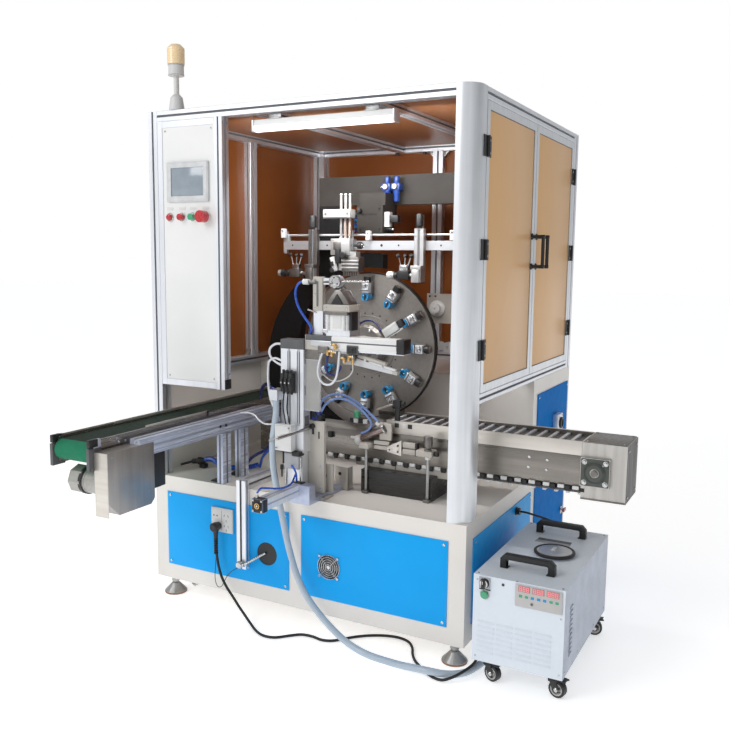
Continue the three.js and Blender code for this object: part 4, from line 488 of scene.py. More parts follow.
# One piece of the machine: its parts are made one by one in machine millimetres and gathered into one mesh.
# A part's finish is its number in the list of finishes that the piece starts with.
class Piece:
    def __init__(self, name, body, slot, *finishes):
        self.name, self.body, self.slot, self.finishes = name, body, slot, finishes
        self.whole = bmesh.new()

    def add(self, part, finish=None, turn=None):
        if turn is not None:
            bmesh.ops.transform(part, matrix=turn, verts=part.verts)
        for face in part.faces if finish is not None else ():
            face.material_index = finish
        carrier = bpy.data.meshes.new("carrier")
        part.to_mesh(carrier)
        part.free()
        self.whole.from_mesh(carrier)
        bpy.data.meshes.remove(carrier)

    def block(self, low, high, finish=0, edge=0.0, turn=None, segments=2):
        part = bmesh.new()
        bmesh.ops.create_cube(part, size=1)
        low, high = Vector(low), Vector(high)
        bmesh.ops.scale(part, vec=high - low, verts=part.verts)
        if edge:
            roundEdges(part, part.edges[:], edge, segments)
        bmesh.ops.translate(part, vec=(low + high) / 2, verts=part.verts)
        self.add(part, finish, turn)

    # Blocks from a table of low corner, high corner, finish and edge
    def blocks(self, table):
        for low, high, finish, edge in table:
            self.block(low, high, finish, edge)

    def rod(self, start, end, radius, finish=0, sides=20, edge=0.0, turn=None):
        part = bmesh.new()
        start, end = Vector(start), Vector(end)
        along = end - start
        bmesh.ops.create_cone(
            part, cap_ends=True, segments=sides, radius1=radius, radius2=radius, depth=along.length,
        )
        if edge:
            part.normal_update()
            roundEdges(part, [e for e in part.edges if e.calc_face_angle(0) > 1], edge)
        stand(part, (start + end) / 2, along)
        self.add(part, finish, turn)

    # A turned shape from its profile of steps along the way and radii
    def turned(self, start, along, profile, finish=0, sides=28, turn=None):
        part = bmesh.new()
        verts = [part.verts.new((radius, 0, step)) for step, radius in profile]
        for pair in zip(verts, verts[1:]):
            part.edges.new(pair)
        spin(part, sides)
        stand(part, start, along)
        self.add(part, finish, turn)

    def ring(self, middle, along, radius, wire, finish=0, sides=28):
        part = bmesh.new()
        bmesh.ops.create_circle(part, segments=8, radius=wire)
        bmesh.ops.rotate(part, matrix=Matrix.Rotation(math.pi / 2, 3, "X"), verts=part.verts)
        bmesh.ops.translate(part, vec=(radius, 0, 0), verts=part.verts)
        spin(part, sides)
        stand(part, middle, along)
        self.add(part, finish)

    def plate(self, outline, axis, low, high, finish=0, holes=(), edge=0.0, turn=None):
        part = prism([outline, *holes], axis, low, high)
        if edge:
            roundEdges(part, [e for e in part.edges if e.calc_face_angle(0) > 0.7], edge)
        self.add(part, finish, turn)

    # Aluminium bar with a slot along the middle of the named faces; the slot's floor takes a second finish
    def slottedBar(self, low, high, along, finish=0, floorFinish=1, mouth=8, deep=5, faces="wens"):
        across = [a for a in range(3) if a != along]
        (u0, v0), (u1, v1) = [[corner[a] for a in across] for corner in (low, high)]
        um, vm, m, c = (u0 + u1) / 2, (v0 + v1) / 2, mouth / 2, 1.2  # c is the corner's bevel
        slots = dict(
            s=[(um - m, v0), (um - m, v0 + deep), (um + m, v0 + deep), (um + m, v0)],
            e=[(u1, vm - m), (u1 - deep, vm - m), (u1 - deep, vm + m), (u1, vm + m)],
            n=[(um + m, v1), (um + m, v1 - deep), (um - m, v1 - deep), (um - m, v1)],
            w=[(u0, vm + m), (u0 + deep, vm + m), (u0 + deep, vm - m), (u0, vm - m)],
        )
        starts = dict(s=(u0 + c, v0), e=(u1, v0 + c), n=(u1 - c, v1), w=(u0, v1 - c))
        ends = dict(s=(u1 - c, v0), e=(u1, v1 - c), n=(u0 + c, v1), w=(u0, v0 + c))
        outline = []
        for side in "senw":
            outline += [starts[side], *(slots[side] if side in faces else ()), ends[side]]
        part = prism([outline], along, low[along], high[along])
        for face in part.faces:
            spot = face.calc_center_median()
            u, v = spot[across[0]], spot[across[1]]
            inside = u0 + deep / 2 < u < u1 - deep / 2 and v0 + deep / 2 < v < v1 - deep / 2
            isEnd = abs(face.normal[along]) > 0.5
            face.material_index = floorFinish if inside and not isEnd else finish
        self.add(part)

    # Small screw: a low domed head with a socket in it
    def screw(self, place, along, radius, finish=0):
        rise = radius * 0.55
        self.turned(place, along, [
            (0, 0), (0, radius), (rise * 0.6, radius), (rise, radius * 0.72), (rise, radius * 0.42),
            (rise * 0.4, radius * 0.38), (rise * 0.4, 0),
        ], finish, 12)

    # Screws where the places given along X, Y and Z cross; a bare number is one place
    def screws(self, xs, ys, zs, along, radius, finish=0):
        for spot in product(*[places if isinstance(places, tuple) else (places,) for places in (xs, ys, zs)]):
            self.screw(spot, along, radius, finish)

    def done(self, *replaced):
        bmesh.ops.transform(self.whole, matrix=toRow, verts=self.whole.verts)
        mesh = bpy.data.meshes.new(self.name)
        self.whole.to_mesh(mesh)
        self.whole.free()
        for finish in self.finishes:
            mesh.materials.append(finish)
        mesh.shade_smooth()
        mesh.set_sharp_from_angle(angle=math.radians(32))
        made = addObject(self.name, mesh)
        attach(made, self.body)
        if replaced:
            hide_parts(*replaced)
        return made


# A smooth line through the points of a route, centripetal as in the source
def smoothRoute(route, steps=5):
    spots = [Vector(point) for point in route]
    spots = [2 * spots[0] - spots[1], *spots, 2 * spots[-1] - spots[-2]]
    line = []
    for before, start, end, after in zip(spots, spots[1:], spots[2:], spots[3:]):
        pairs = ((before, start), (start, end), (end, after))
        g0, g1, g2 = [max((b - a).length, 1e-4) ** 0.5 for a, b in pairs]
        first = ((start - before) / g0 - (end - before) / (g0 + g1) + (end - start) / g1) * g1
        last = ((end - start) / g1 - (after - start) / (g1 + g2) + (after - end) / g2) * g1
        for i in range(steps):
            t = i / steps
            line.append(
                start * (2 * t**3 - 3 * t**2 + 1) + first * (t**3 - 2 * t**2 + t)
                + end * (3 * t**2 - 2 * t**3) + last * (t**3 - t**2)
            )
    line.append(spots[-2])
    return line


# A cord, hose or tube: a curve along its route, whose length it measures
def layTube(name, body, slot, finish, route, radius, replaced=(), **facts):
    line = [toRow @ spot for spot in smoothRoute(route)]
    curve = bpy.data.curves.new(name, "CURVE")
    curve.dimensions = "3D"
    curve.bevel_depth = radius * millimetre
    curve.bevel_resolution = 3
    curve.use_fill_caps = True
    spline = curve.splines.new("POLY")
    spline.points.add(len(line) - 1)
    for point, spot in zip(spline.points, line):
        point.co = (*spot, 1)
    spline.use_smooth = True
    curve.materials.append(finish)
    tube = addObject(name, curve)
    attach(tube, body)
    if replaced:
        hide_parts(*replaced)
    length = sum((b - a).length for a, b in zip(line, line[1:]))
    return tube


# Mains plug: a round moulded body with a ribbed sleeve round the start of its cord
mainsPlug = dict(x=292, z=308, back=-11.6, radius=17, cordY=-28.6, sleeveEnd=212, ribs=7)


def makeMainsPlug(v):
    plug = Piece("mains_plug_body", "machine", "black_plastic", blackPlastic, cordRubber)
    plug.turned((v["x"], v["back"], v["z"]), toFront, [
        (0, 0), (0, v["radius"] * 0.8), (12, v["radius"] * 0.86), (17, v["radius"]), (30, v["radius"] * 0.96),
        (34, v["radius"] * 0.7), (34, 0),
    ])
    low = v["z"] - 14
    sleeve = [(0, 0), (0, 9.5), (16, 8), (29, 6.2), (29, 4.6), (0, 4.6)]
    plug.turned((v["x"], v["cordY"], low), down, sleeve, 0, 20)
    step = (low - 24 - v["sleeveEnd"]) / v["ribs"]
    rib = [(0, 4.7), (1, 7.6), (step * 0.6, 7.8), (step * 0.8, 5.6), (step, 4.7)]
    for i in range(v["ribs"]):
        middle = (v["x"] + i * 0.25, v["cordY"] - i * 0.2, low - 26 - i * step)
        plug.turned(middle, (0.01, 0, -1), rib, 1, 18)
    return plug.done("mains_plug")


# Main cords along their routes: each lies at the height of its own radius on the floor, or on the other cord
mainsCord = dict(radius=4.5, floor=5.4)
coolantHose = dict(radius=11, floor=11.6)
linkCable = dict(radius=3.5)


def makeCords(mains, hose, link):
    plug = makeMainsPlug(mainsPlug)
    low = mains["floor"]
    route = [
        (292, -28.6, 265.7), (292, -28.6, 240), (297, -30, 205), (305, -31, 168), (320, -33, 132),
        (344, -37, 102),
        (374, -43, 77), (404, -50, 52), (436, -58, 29), (470, -72, 12), (508, -94, low), (548, -110, low),
        (586, -103, low), (620, -70, low), (652, -42, low), (690, -37, low), (730, -43, low), (762, -31, low),
        (784, -6, low), (812, 28, low), (850, 61, low), (900, 87, low), (944, 94, low), (980, 83, low),
        (1008, 52, low), (1027, 14, low), (1050, -20, low), (1080, -48, low), (1112, -72, low),
        (1144, -90, low),
        (1174, -94, 8), (1202, -78, 18), (1222, -50, 27), (1231, -20, 30), (1233, 14, 30), (1227, 50, 28),
        (1223, 92, 14), (1234, 144, 7), (1258, 220, low), (1300, 320, low), (1338, 400, low),
        (1352, 468, low),
        (1352, 520, 9), (1352, 562, 32), (1352, 582, 74), (1352, 572, 120), (1352, 548, 149.7),
        (1352, 512.3, 150),
    ]
    layTube(
        "mains_cord_run", "machine", "cable_rubber", cordRubber, route, mains["radius"], ["mains_cord"],
        far_end="object", stiffness="medium", lay="loose", with_pieces=[plug],
    )
    low = hose["floor"]
    route = [
        (545, -30, 776), (545, -30, 730), (532, -30, 641), (534, -31, 558), (551, -33, 476), (575, -38, 387),
        (604, -46, 297), (640, -56, 217), (680, -62, 156), (724, -62, 108), (770, -60, 68), (818, -60, 36),
        (868, -64, 18), (920, -72, low), (980, -78, low), (1036, -84, 14), (1088, -90, 20), (1132, -90, 22.5),
        (1166, -76, 17), (1196, -50, low), (1220, -22, low), (1234, 20, low), (1246, 80, low),
        (1274, 170, low),
        (1324, 270, low), (1374, 360, low), (1398, 440, low), (1402, 520, 13), (1402, 576, 26),
        (1402, 612, 70),
        (1402, 618, 124), (1402, 596, 176), (1402, 556, 209.7), (1402, 512.3, 210),
    ]
    layTube(
        "coolant_hose_run", "machine", "grey_hose", greyHose, route, hose["radius"], ["coolant_hose"],
        far_end="object", stiffness="stiff", lay="loose",
    )
    route = [
        (1218.1, 470, 372), (1236, 470, 372), (1262, 484, 363), (1296, 520, 344), (1336, 556, 318),
        (1382, 582, 292), (1420, 584, 278), (1440, 562, 275), (1440, 512.3, 275),
    ]
    layTube(
        "link_cable_run", "machine", "cable_rubber", cordRubber, route, link["radius"], ["link_cable"],
        far_end="object", stiffness="medium", lay="hanging",
    )


makeCords(mainsCord, coolantHose, linkCable)
print("cords laid")


# Base: four blue panels with their screws, socket plate, strut with its knob, cable hole, fan, feet's pads
basePanels = dict(
    face=-3.3, thick=3, low=126, high=396.3, left=(56, 576), right=(624, 1144), screw=4.6, screwInset=13,
    hole=(488, 238, 40), sideFace=1203.3, sideFront=(56, 640), sideRear=(688, 1103), sideRearHigh=748,
    inlet=(1226, 927, 607), redLever=(1062, 217), cable=(470, 372),
)
socketPlate = dict(x=(259, 351), z=(285, 371), front=-11.3)
cableStrut = dict(x=(378, 416), z=(176, 485), front=-25.3, knob=(397, 194), table=452.2, back=160)
coolingFan = dict(middle=(731, 238), radius=44, rings=5, blades=7)


# One front panel's sheet with its round hole and corner screws
def layPanel(piece, v, span, hole):
    face, inset = v["face"], v["screwInset"]
    x0, x1 = span
    piece.plate(
        rectangle(span, (v["low"], v["high"])), alongY, face, face + v["thick"], 0, [circle(*hole, 24)], 0.8,
    )
    piece.screws(
        (x0 + inset, x1 - inset), face, (v["low"] + inset, v["high"] - inset), toFront, v["screw"], 1,
    )


def makeLeftPanel(v, socket, strut):
    panel = Piece(
        "front_panel_left_dressed", "machine", "blue_paint", bluePaint, chrome, whitePlastic, aluminium,
        slotShade,
        blackPlastic,
    )
    layPanel(panel, v, v["left"], v["hole"])
    face, back = v["face"], v["face"] + v["thick"]
    x, z, radius = v["hole"]
    # a black disc recessed in the cable hole, painted shade for the dark inside of the cabinet
    panel.rod((x, back - 0.6, z), (x, back, z), radius + 1, 5, 32)
    # mains socket
    (x0, x1), (z0, z1), front = socket["x"], socket["z"], socket["front"]
    panel.block((x0, front, z0), (x1, face + 1, z1), 2, 3, segments=3)
    panel.block((x0 + 5, front - 1.2, z0 + 5), (x1 - 5, front + 1, z1 - 5), 2, 1.0)
    middle = (x0 + x1) / 2
    panel.block((middle - 0.6, front - 1.4, z0 + 8), (middle + 0.6, front, z1 - 8), 4)
    for dx in (-33, -19):
        panel.rod((middle + dx, front - 1.5, z0 + 58), (middle + dx, front, z0 + 58), 2.6, 5, 14)
    for dx, dz, turn in (
        (12, 62, 0.4), (28, 62, -0.4), (20, 44, 0), (12, 24, 0.4), (28, 24, -0.4), (20, 10, 0),
    ):
        panel.block((-1, -1.6, -4), (1, 0.2, 4), 4, turn=turnedAt((middle + dx, front, z0 + dz), turn))
    # strut of slotted profile with its clamp knob, and the coiled lead from the cable hole to the knob
    (x0, x1), (z0, z1), front, table = strut["x"], strut["z"], strut["front"], strut["table"]
    panel.slottedBar((x0, front, z0), (x1, face - 0.1, z1), alongZ, 3, 4, faces="sew")
    panel.slottedBar((x0 + 2, face - 0.1, table), (x1 - 2, strut["back"], z1), alongY, 3, 4)
    for y in (30, 120):
        panel.block((x0 - 12, y - 12, table), (x0 + 2, y + 12, table + 5), 3, 1)
    knobX, knobZ = strut["knob"]
    panel.turned((knobX, front, knobZ), toFront, [
        (0, 0), (0, 5), (4, 5), (4, 11), (7, 12), (15, 12), (18, 9.5), (18, 0),
    ], 1, 24)
    panel.ring((knobX, front - 11, knobZ), toBack, 12, 1.1, 1)
    start, end = Vector((x - 6, -4, z + 2)), Vector((knobX + 14, front - 7, knobZ))
    panel.rod(start, end, 4.2, 1, 16)
    panel.rod((knobX, front - 7, knobZ), (knobX + 18, front - 7, knobZ + 1), 7, 1, 16, 1)
    for i in range(9):
        panel.ring(start.lerp(end, 0.12 + i * 0.085), (x - 20 - knobX, 24, z - knobZ), 4.6, 1.0, 1, 14)
    panel.done("front_panel_left")


def makeRightPanel(v, fan):
    panel = Piece(
        "front_panel_right_dressed", "machine", "blue_paint", bluePaint, chrome, blackPlastic,
        darkGreyPlastic,
    )
    (x, z), radius = fan["middle"], fan["radius"]
    layPanel(panel, v, v["right"], (x, z, radius - 4))
    face, back = v["face"], v["face"] + v["thick"]
    panel.rod((x, back - 0.5, z), (x, back, z), radius - 3.5, 2, 32)
    panel.turned((x, back - 0.5, z), toFront, [(0, 0), (0, 15), (3, 15), (4, 12), (4, 0)], 3, 24)
    blade = [(8, -7), (24, -10), (37, -6), (35, 8), (22, 7), (8, 5)]
    for i in range(fan["blades"]):
        turn = turnedAt((x, -1.6, z), math.tau * i / fan["blades"])
        panel.plate(blade, alongY, -0.6, 0.4, 3, turn=turn)
    for i in range(fan["rings"]):
        panel.ring((x, face - 4 + i * 0.5, z), toBack, radius * (0.24 + 0.17 * i), 1.2, 1, 36)
    start = Vector((x, face - 3.6, z))
    for dx, dz in circle(0, 0, 1, 4, 45):
        away = Vector((dx, 0, dz))
        panel.rod(start + away * radius * 0.22, start + away * (radius + 2), 1.2, 1, 8)
        panel.ring(start + away * (radius + 3.5), toBack, 3.4, 1.1, 1, 14)
        panel.screw(start + away * (radius + 3.5), toFront, 3.4, 1)
    panel.rod((x, face - 5, z), (x, face - 3.4, z), 7, 1, 20, 0.5)
    panel.done("front_panel_right")


def makeSidePanels(v):
    out, low, inset = v["sideFace"], v["low"], v["screwInset"]
    screws = Piece("side_panel_screws", "machine", "steel", chrome)
    for (y0, y1), high in ((v["sideFront"], v["high"]), (v["sideRear"], v["sideRearHigh"])):
        screws.screws(out, (y0 + inset, y1 - inset), (low + inset, high - inset), toRight, v["screw"])
    screws.done()
    inlet = Piece("side_inlets", "machine", "black_plastic", aluminium, blackPlastic, redPlastic, chrome)
    x, y, z = v["inlet"]
    inlet.block((out, y - 34, z - 34), (x, y + 34, z + 34), 0, 3)
    inlet.turned((x, y, z), toRight, [(0, 0), (0, 22), (6, 22), (8, 19), (8, 15), (4, 13), (4, 0)], 1, 32)
    inlet.screws(x, (y - 26, y + 26), (z - 26, z + 26), toRight, 3, 3)
    y, z = v["redLever"]
    inlet.turned((out, y, z), toRight, [(0, 0), (0, 15), (4, 15), (5, 11), (12, 10), (12, 0)], 3, 28)
    inlet.block((out + 12, y - 9, z - 7), (out + 19, y + 26, z + 7), 2, 2)
    inlet.turned((out, *v["cable"]), toRight, [
        (0, 0), (0, 15), (3, 15), (4, 12), (14.4, 12), (14.4, 4),
    ], 1, 28)
    inlet.done()


# Feet's rubber pads, and the small transport wheel that hangs under the base behind the left foot
baseFeet = dict(inset=45, width=1200, depth=1130, radius=40.6, pad=6, rubber=(0.32, 0.13, 0.05))
transportWheel = dict(x=92, y=98, top=70, wheelZ=26, radius=15, half=6)


def makeFeet(v, wheel):
    pads = Piece(
        "foot_pads", "machine", "black_plastic", mouldedPlastic("pad_rubber", v["rubber"], 0.6, 0.002),
    )
    radius = v["radius"]
    profile = [(0, 0), (0, radius - 2), (2, radius), (v["pad"], radius), (v["pad"], 0)]
    for x, y in product((v["inset"], v["width"] - v["inset"]), (v["inset"], v["depth"] - v["inset"])):
        pads.turned((x, y, 0.2), up, profile, 0, 32)
    pads.done()
    piece = Piece("transport_wheel", "machine", "steel", zincPlate, palePlastic)
    x, y, z, top, radius = wheel["x"], wheel["y"], wheel["wheelZ"], wheel["top"], wheel["radius"]
    piece.block((x - 20, y - 16, top - 3), (x + 20, y + 16, top - 0.3), 0, 1)
    cheek = [(x - 8, z - 6), (x + 8, z - 6), (x + 14, top - 3), (x - 14, top - 3)]
    for side in (y - 9, y + 7.5):
        piece.plate(cheek, alongY, side, side + 1.5, 0, edge=0.4)
    piece.rod((x, y - 10, z), (x, y + 10, z), 3, 0, 12)
    profile = [(0, 0), (0, radius - 3), (2, radius), (10, radius), (12, radius - 3), (12, 0)]
    piece.turned((x, y - wheel["half"], z), toBack, profile, 1, 28)
    piece.done()


makeLeftPanel(basePanels, socketPlate, cableStrut)
makeRightPanel(basePanels, coolingFan)
makeSidePanels(basePanels)
makeFeet(baseFeet, transportWheel)
print("base dressed")


# Enclosure frame: bars of slotted profile between low and high corners, by the axis that they run along
enclosureBars = dict(
    bars={
        alongZ: [
            ((0, 0, 452.3), (40, 45, 1723)), ((0, 1070, 804.3), (60, 1130, 1723)),
            ((1160, 1070, 804.3), (1200, 1130, 1723)), ((8.3, 538, 834.3), (40, 584, 1688)),
            ((592, 1090, 834.3), (638, 1121.7, 1688)),
        ],
        alongX: [
            ((40, 0, 1688), (1135.7, 40, 1723)), ((60, 1090, 1688), (1160, 1130, 1723)),
            ((60, 1090, 804.3), (1160, 1130, 834.3)),
        ],
        alongY: [
            ((0, 45, 1688), (40, 1070, 1723)), ((1160, 80.3, 1688), (1200, 1070, 1723)),
            ((0, 45, 804.3), (40, 1070, 834.3)), ((1160, 80.3, 804.3), (1200, 1070, 834.3)),
            ((420, 40, 1688), (460, 1090, 1712.7)), ((840, 40, 1688), (880, 1090, 1712.7)),
        ],
    },
    # corner brackets: the corner, and the two ways that each one reaches
    brackets=[
        ((40, 8, 1688), (1, 0, -1)), ((16, 45, 1688), (0, 1, -1)), ((16, 584, 1688), (0, 1, -1)),
        ((16, 538, 834.3), (0, -1, 1)), ((16, 584, 834.3), (0, 1, 1)), ((592, 1098, 834.3), (-1, 0, 1)),
        ((638, 1098, 834.3), (1, 0, 1)), ((592, 1098, 1688), (-1, 0, -1)), ((638, 1098, 1688), (1, 0, -1)),
        ((60, 1098, 834.3), (1, 0, 1)), ((1160, 1098, 834.3), (-1, 0, 1)),
    ],
    bracket=26, hingeLine=1068, hingeHeights=(966.6, 1261.2, 1555.7), hingeFace=1204,
)


def makeEnclosureFrame(v):
    whole = Piece("enclosure_bars", "machine", "aluminium", aluminium, slotShade, blackPlastic, zincPlate)
    for along, bars in v["bars"].items():
        for low, high in bars:
            whole.slottedBar(low, high, along)
    line, face, size = v["hingeLine"], v["hingeFace"], v["bracket"]
    for z in v["hingeHeights"]:
        whole.block((1199, line + 7, z - 30), (face, line + 30, z + 30), 2, 1)
        whole.block((1200.3, line, z - 30), (face, line + 8, z - 0.2), 2)
        whole.rod((1206, line, z - 30), (1206, line, z - 0.2), 5, 2, 16, 0.8)
        whole.screws(face, line + 20, (z - 18, z + 18), toRight, 3.6, 3)
    for (x, y, z), (wayX, wayY, wayZ) in v["brackets"]:
        a, across, axis = (x, y, alongY) if wayX else (y, x, alongX)
        outline = [(a, z), (a + (wayX + wayY) * size, z), (a, z + wayZ * size)]
        whole.plate(outline, axis, across, across + 20, 3, edge=1)
    whole.done("enclosure_frame")


# Side doors: tinted sheets on both sides of each rim, with a thin dark seal, and the screws of hinges and
# handles
doorSheets = dict(
    doors=[  # body, clear span, slab, hinge line and handle line
        ("door_front", (108, 549), (84, 573), 82, 549), ("door_rear", (601, 1042), (577, 1066), 1068, 601),
    ],
    heights=(860.3, 1662), out=(1196.1, 1197.6), inside=(1178.6, 1179.9), seal=2.4,
    handleHeights=(1211, 1312),
)


def makeDoorSheets(v, hinges):
    (low, high), seal, (out0, out1), (in0, in1) = v["heights"], v["seal"], v["out"], v["inside"]
    for body, (y0, y1), (slab0, slab1), hinge, handle in v["doors"]:
        sheet = Piece(body + "_sheets", body, "amber_plastic", amberDoor, slotShade)
        sheet.block((out0, y0 + seal, low + seal), (out1, y1 - seal, high - seal), 0, 0.4)
        outline, hole = [rectangle((y0, y1), (low, high), inset) for inset in (0, seal)]
        sheet.plate(outline, alongX, out0, out1 + 0.5, 1, [hole])
        sheet.block((in0, slab0 + 10, low - 10), (in1, slab1 - 10, high + 10), 0, 0.4)
        sheet.done()
        trim = Piece(body + "_screws", body, "steel", zincPlate, blackPlastic)
        side = 1 if hinge < y0 else -1
        for z in hinges["hingeHeights"]:
            trim.screws(hinges["hingeFace"], hinge + side * 20, (z - 18, z + 18), toRight, 3.6)
        for z in v["handleHeights"]:
            trim.turned((1200, handle, z), toRight, [(0, 0), (0, 11), (2, 11), (5, 8), (5, 0)], 1, 20)
            trim.turned((1238, handle, z), toRight, [(0, 0), (0, 6), (7.4, 6), (8, 5), (8, 0)], 1, 16)
        trim.done()


makeEnclosureFrame(enclosureBars)
makeDoorSheets(doorSheets, enclosureBars)
print("enclosure dressed")


# Control cabinet: profile rims round a back plate, the screen's glass, the pilot lamp and collars
controlTray = dict(left=40.3, right=316, low=784, high=1687.7, deep=36, rim=22, wideRim=34, back=4)
controlFace = dict(
    front=2, pilot=90, buttons=(144, 191, 245), height=1366, screen=((98, 246), (1431, 1535), -4.4),
)


def makeControls(v, face):
    tray = Piece("control_tray", "machine", "aluminium", aluminium, slotShade, blackPlastic, chrome)
    x0, x1, z0, z1 = v["left"], v["right"], v["low"], v["high"]
    rim, wide, deep = v["rim"], v["wideRim"], v["deep"]
    tray.slottedBar((x0, 0, z0), (x0 + rim, deep, z1), alongZ, faces="w", mouth=6)
    tray.slottedBar((x1 - wide, 0, z0), (x1, deep, z1), alongZ, faces="se", mouth=7)
    for low, high in ((z0, z0 + rim), (z1 - rim, z1)):
        tray.slottedBar((x0 + rim, 0, low), (x1 - wide, deep, high), alongX, faces="", mouth=6)
    tray.block((x0 + rim, deep - v["back"], z0 + rim), (x1 - wide, deep, z1 - rim))
    tray.block((x1 - 0.5, 1, z0 + 1), (x1 + 1.2, deep - 1, z0 + 34), 2, 0.5)
    tray.screws(x1, deep * 0.72, (z1 - 20, z0 + 52), toRight, 4, 3)
    tray.done("control_cabinet")

    trim = Piece("control_trim", "machine", "steel", chrome, redPlastic, slotShade, palePlastic, whitePlastic)
    front, height = face["front"], face["height"]
    spot = (face["pilot"], front, height)
    trim.turned(spot, toFront, [(0, 0), (0, 15), (4, 15), (5, 13.5), (5, 11.4), (0, 11.4)], 0, 32)
    trim.turned(spot, toFront, [(0, 0), (0, 11.2), (9, 11.2), (13, 8.5), (14, 4), (14, 0)], 1, 28)
    for x in face["buttons"]:
        trim.turned((x, front - 4.9, height), toFront, [
            (0, 15), (0.25, 14.6), (0.25, 11.9), (0, 11.6),
        ], 0, 32)
    for x in (face["pilot"], *face["buttons"]):
        trim.block((x - 14, front - 0.7, height + 24), (x + 14, front + 0.1, height + 34), 4, 0.3)
    xs, zs, glassY = face["screen"]
    trim.plate(rectangle(xs, zs, -14), alongY, 1.9, 2.4, 2, [rectangle(xs, zs)])
    trim.plate(rectangle(xs, zs, -10.5), alongY, -7.4, -6.2, 3, [rectangle(xs, zs, 5)], 0.5)
    trim.screws((x0 + 34, x1 - 46), front, (z0 + 34, z1 - 34), toFront, 3.4)
    trim.done()
    glass = Piece("screen_glass", "machine", "lens_plastic", screenGlass)
    glass.block((xs[0] + 0.5, glassY - 1, zs[0] + 0.5), (xs[1] - 0.5, glassY, zs[1] - 0.5), 0, 0.3)
    glass.done()


# Signal light: ribs of the lens and the seams of its cup; work light: housing, bright diffuser, end caps,
# hangers
signalLight = dict(x=112, y=20, cup=(1836, 1873), lens=(1873.6, 1937.6), radius=29)
workLight = dict(x=(431, 942), y=(4, 44), z=(1631, 1669), cap=7, straps=(491, 838), strap=44, top=1687.7)


def makeLights(signal, lamp):
    trim = Piece("signal_rings", "machine", "grey_plastic", greyPlastic, amberLens)
    x, y = signal["x"], signal["y"]
    z0, z1 = signal["lens"]
    for z, radius in ((signal["cup"][0] + 2, 26), (signal["cup"][1] - 3, 26.4)):
        trim.ring((x, y, z), up, radius, 1.1, 0, 32)
    for i in range(1, 7):
        trim.ring((x, y, z0 + (z1 - 12 - z0) * i / 7), up, signal["radius"] - 0.2, 0.8, 1, 32)
    trim.done()

    light = Piece("work_light", "machine", "white_paint", whitePaint, lampTube, aluminium, zincPlate)
    (x0, x1), (y0, y1), (z0, z1) = lamp["x"], lamp["y"], lamp["z"]
    low, high, strap = x0 + lamp["cap"], x1 - lamp["cap"], lamp["strap"]
    housing = [(y0 + 3, z0 + 18), (y1 - 3, z0 + 18), (y1 - 6, z1), (y0 + 6, z1)]
    light.plate(housing, alongX, low, high, 0, edge=1)
    angles = [math.pi * i / 10 for i in range(11)]
    diffuser = [(y0 + 20 + 18 * math.cos(a), z0 + 18 - 17 * math.sin(a)) for a in angles]
    light.plate(diffuser, alongX, low, high, 1)
    for start, end in ((x0, low), (high, x1)):
        light.block((start, y0, z0), (end, y1, z1), 2, 2.5)
    for x in lamp["straps"]:
        light.block((x, y0 + 16, z1 - 1), (x + strap, y0 + 19, lamp["top"]), 3, 0.6)
        light.block((x, y0 + 4, z1 - 1), (x + strap, y1 - 4, z1 + 2), 3, 0.6)
    light.done("lamp_fixture")


makeControls(controlTray, controlFace)
makeLights(signalLight, workLight)
print("controls and lights dressed")


# Supporting frame: bolts and ends of the motor box, the two air regulators on the beam, the far column's
# discs
motorBox = dict(x=(560, 665), y=480, z=(1325, 1425))
airRegulators = dict(x=(646, 684), face=578, z=(1440, 1532), radius=12.5)
farColumn = dict(face=577.6, plate=(806, 932, 1000, 1108), rollers=((896, 914, 20), (864, 918, 16)))


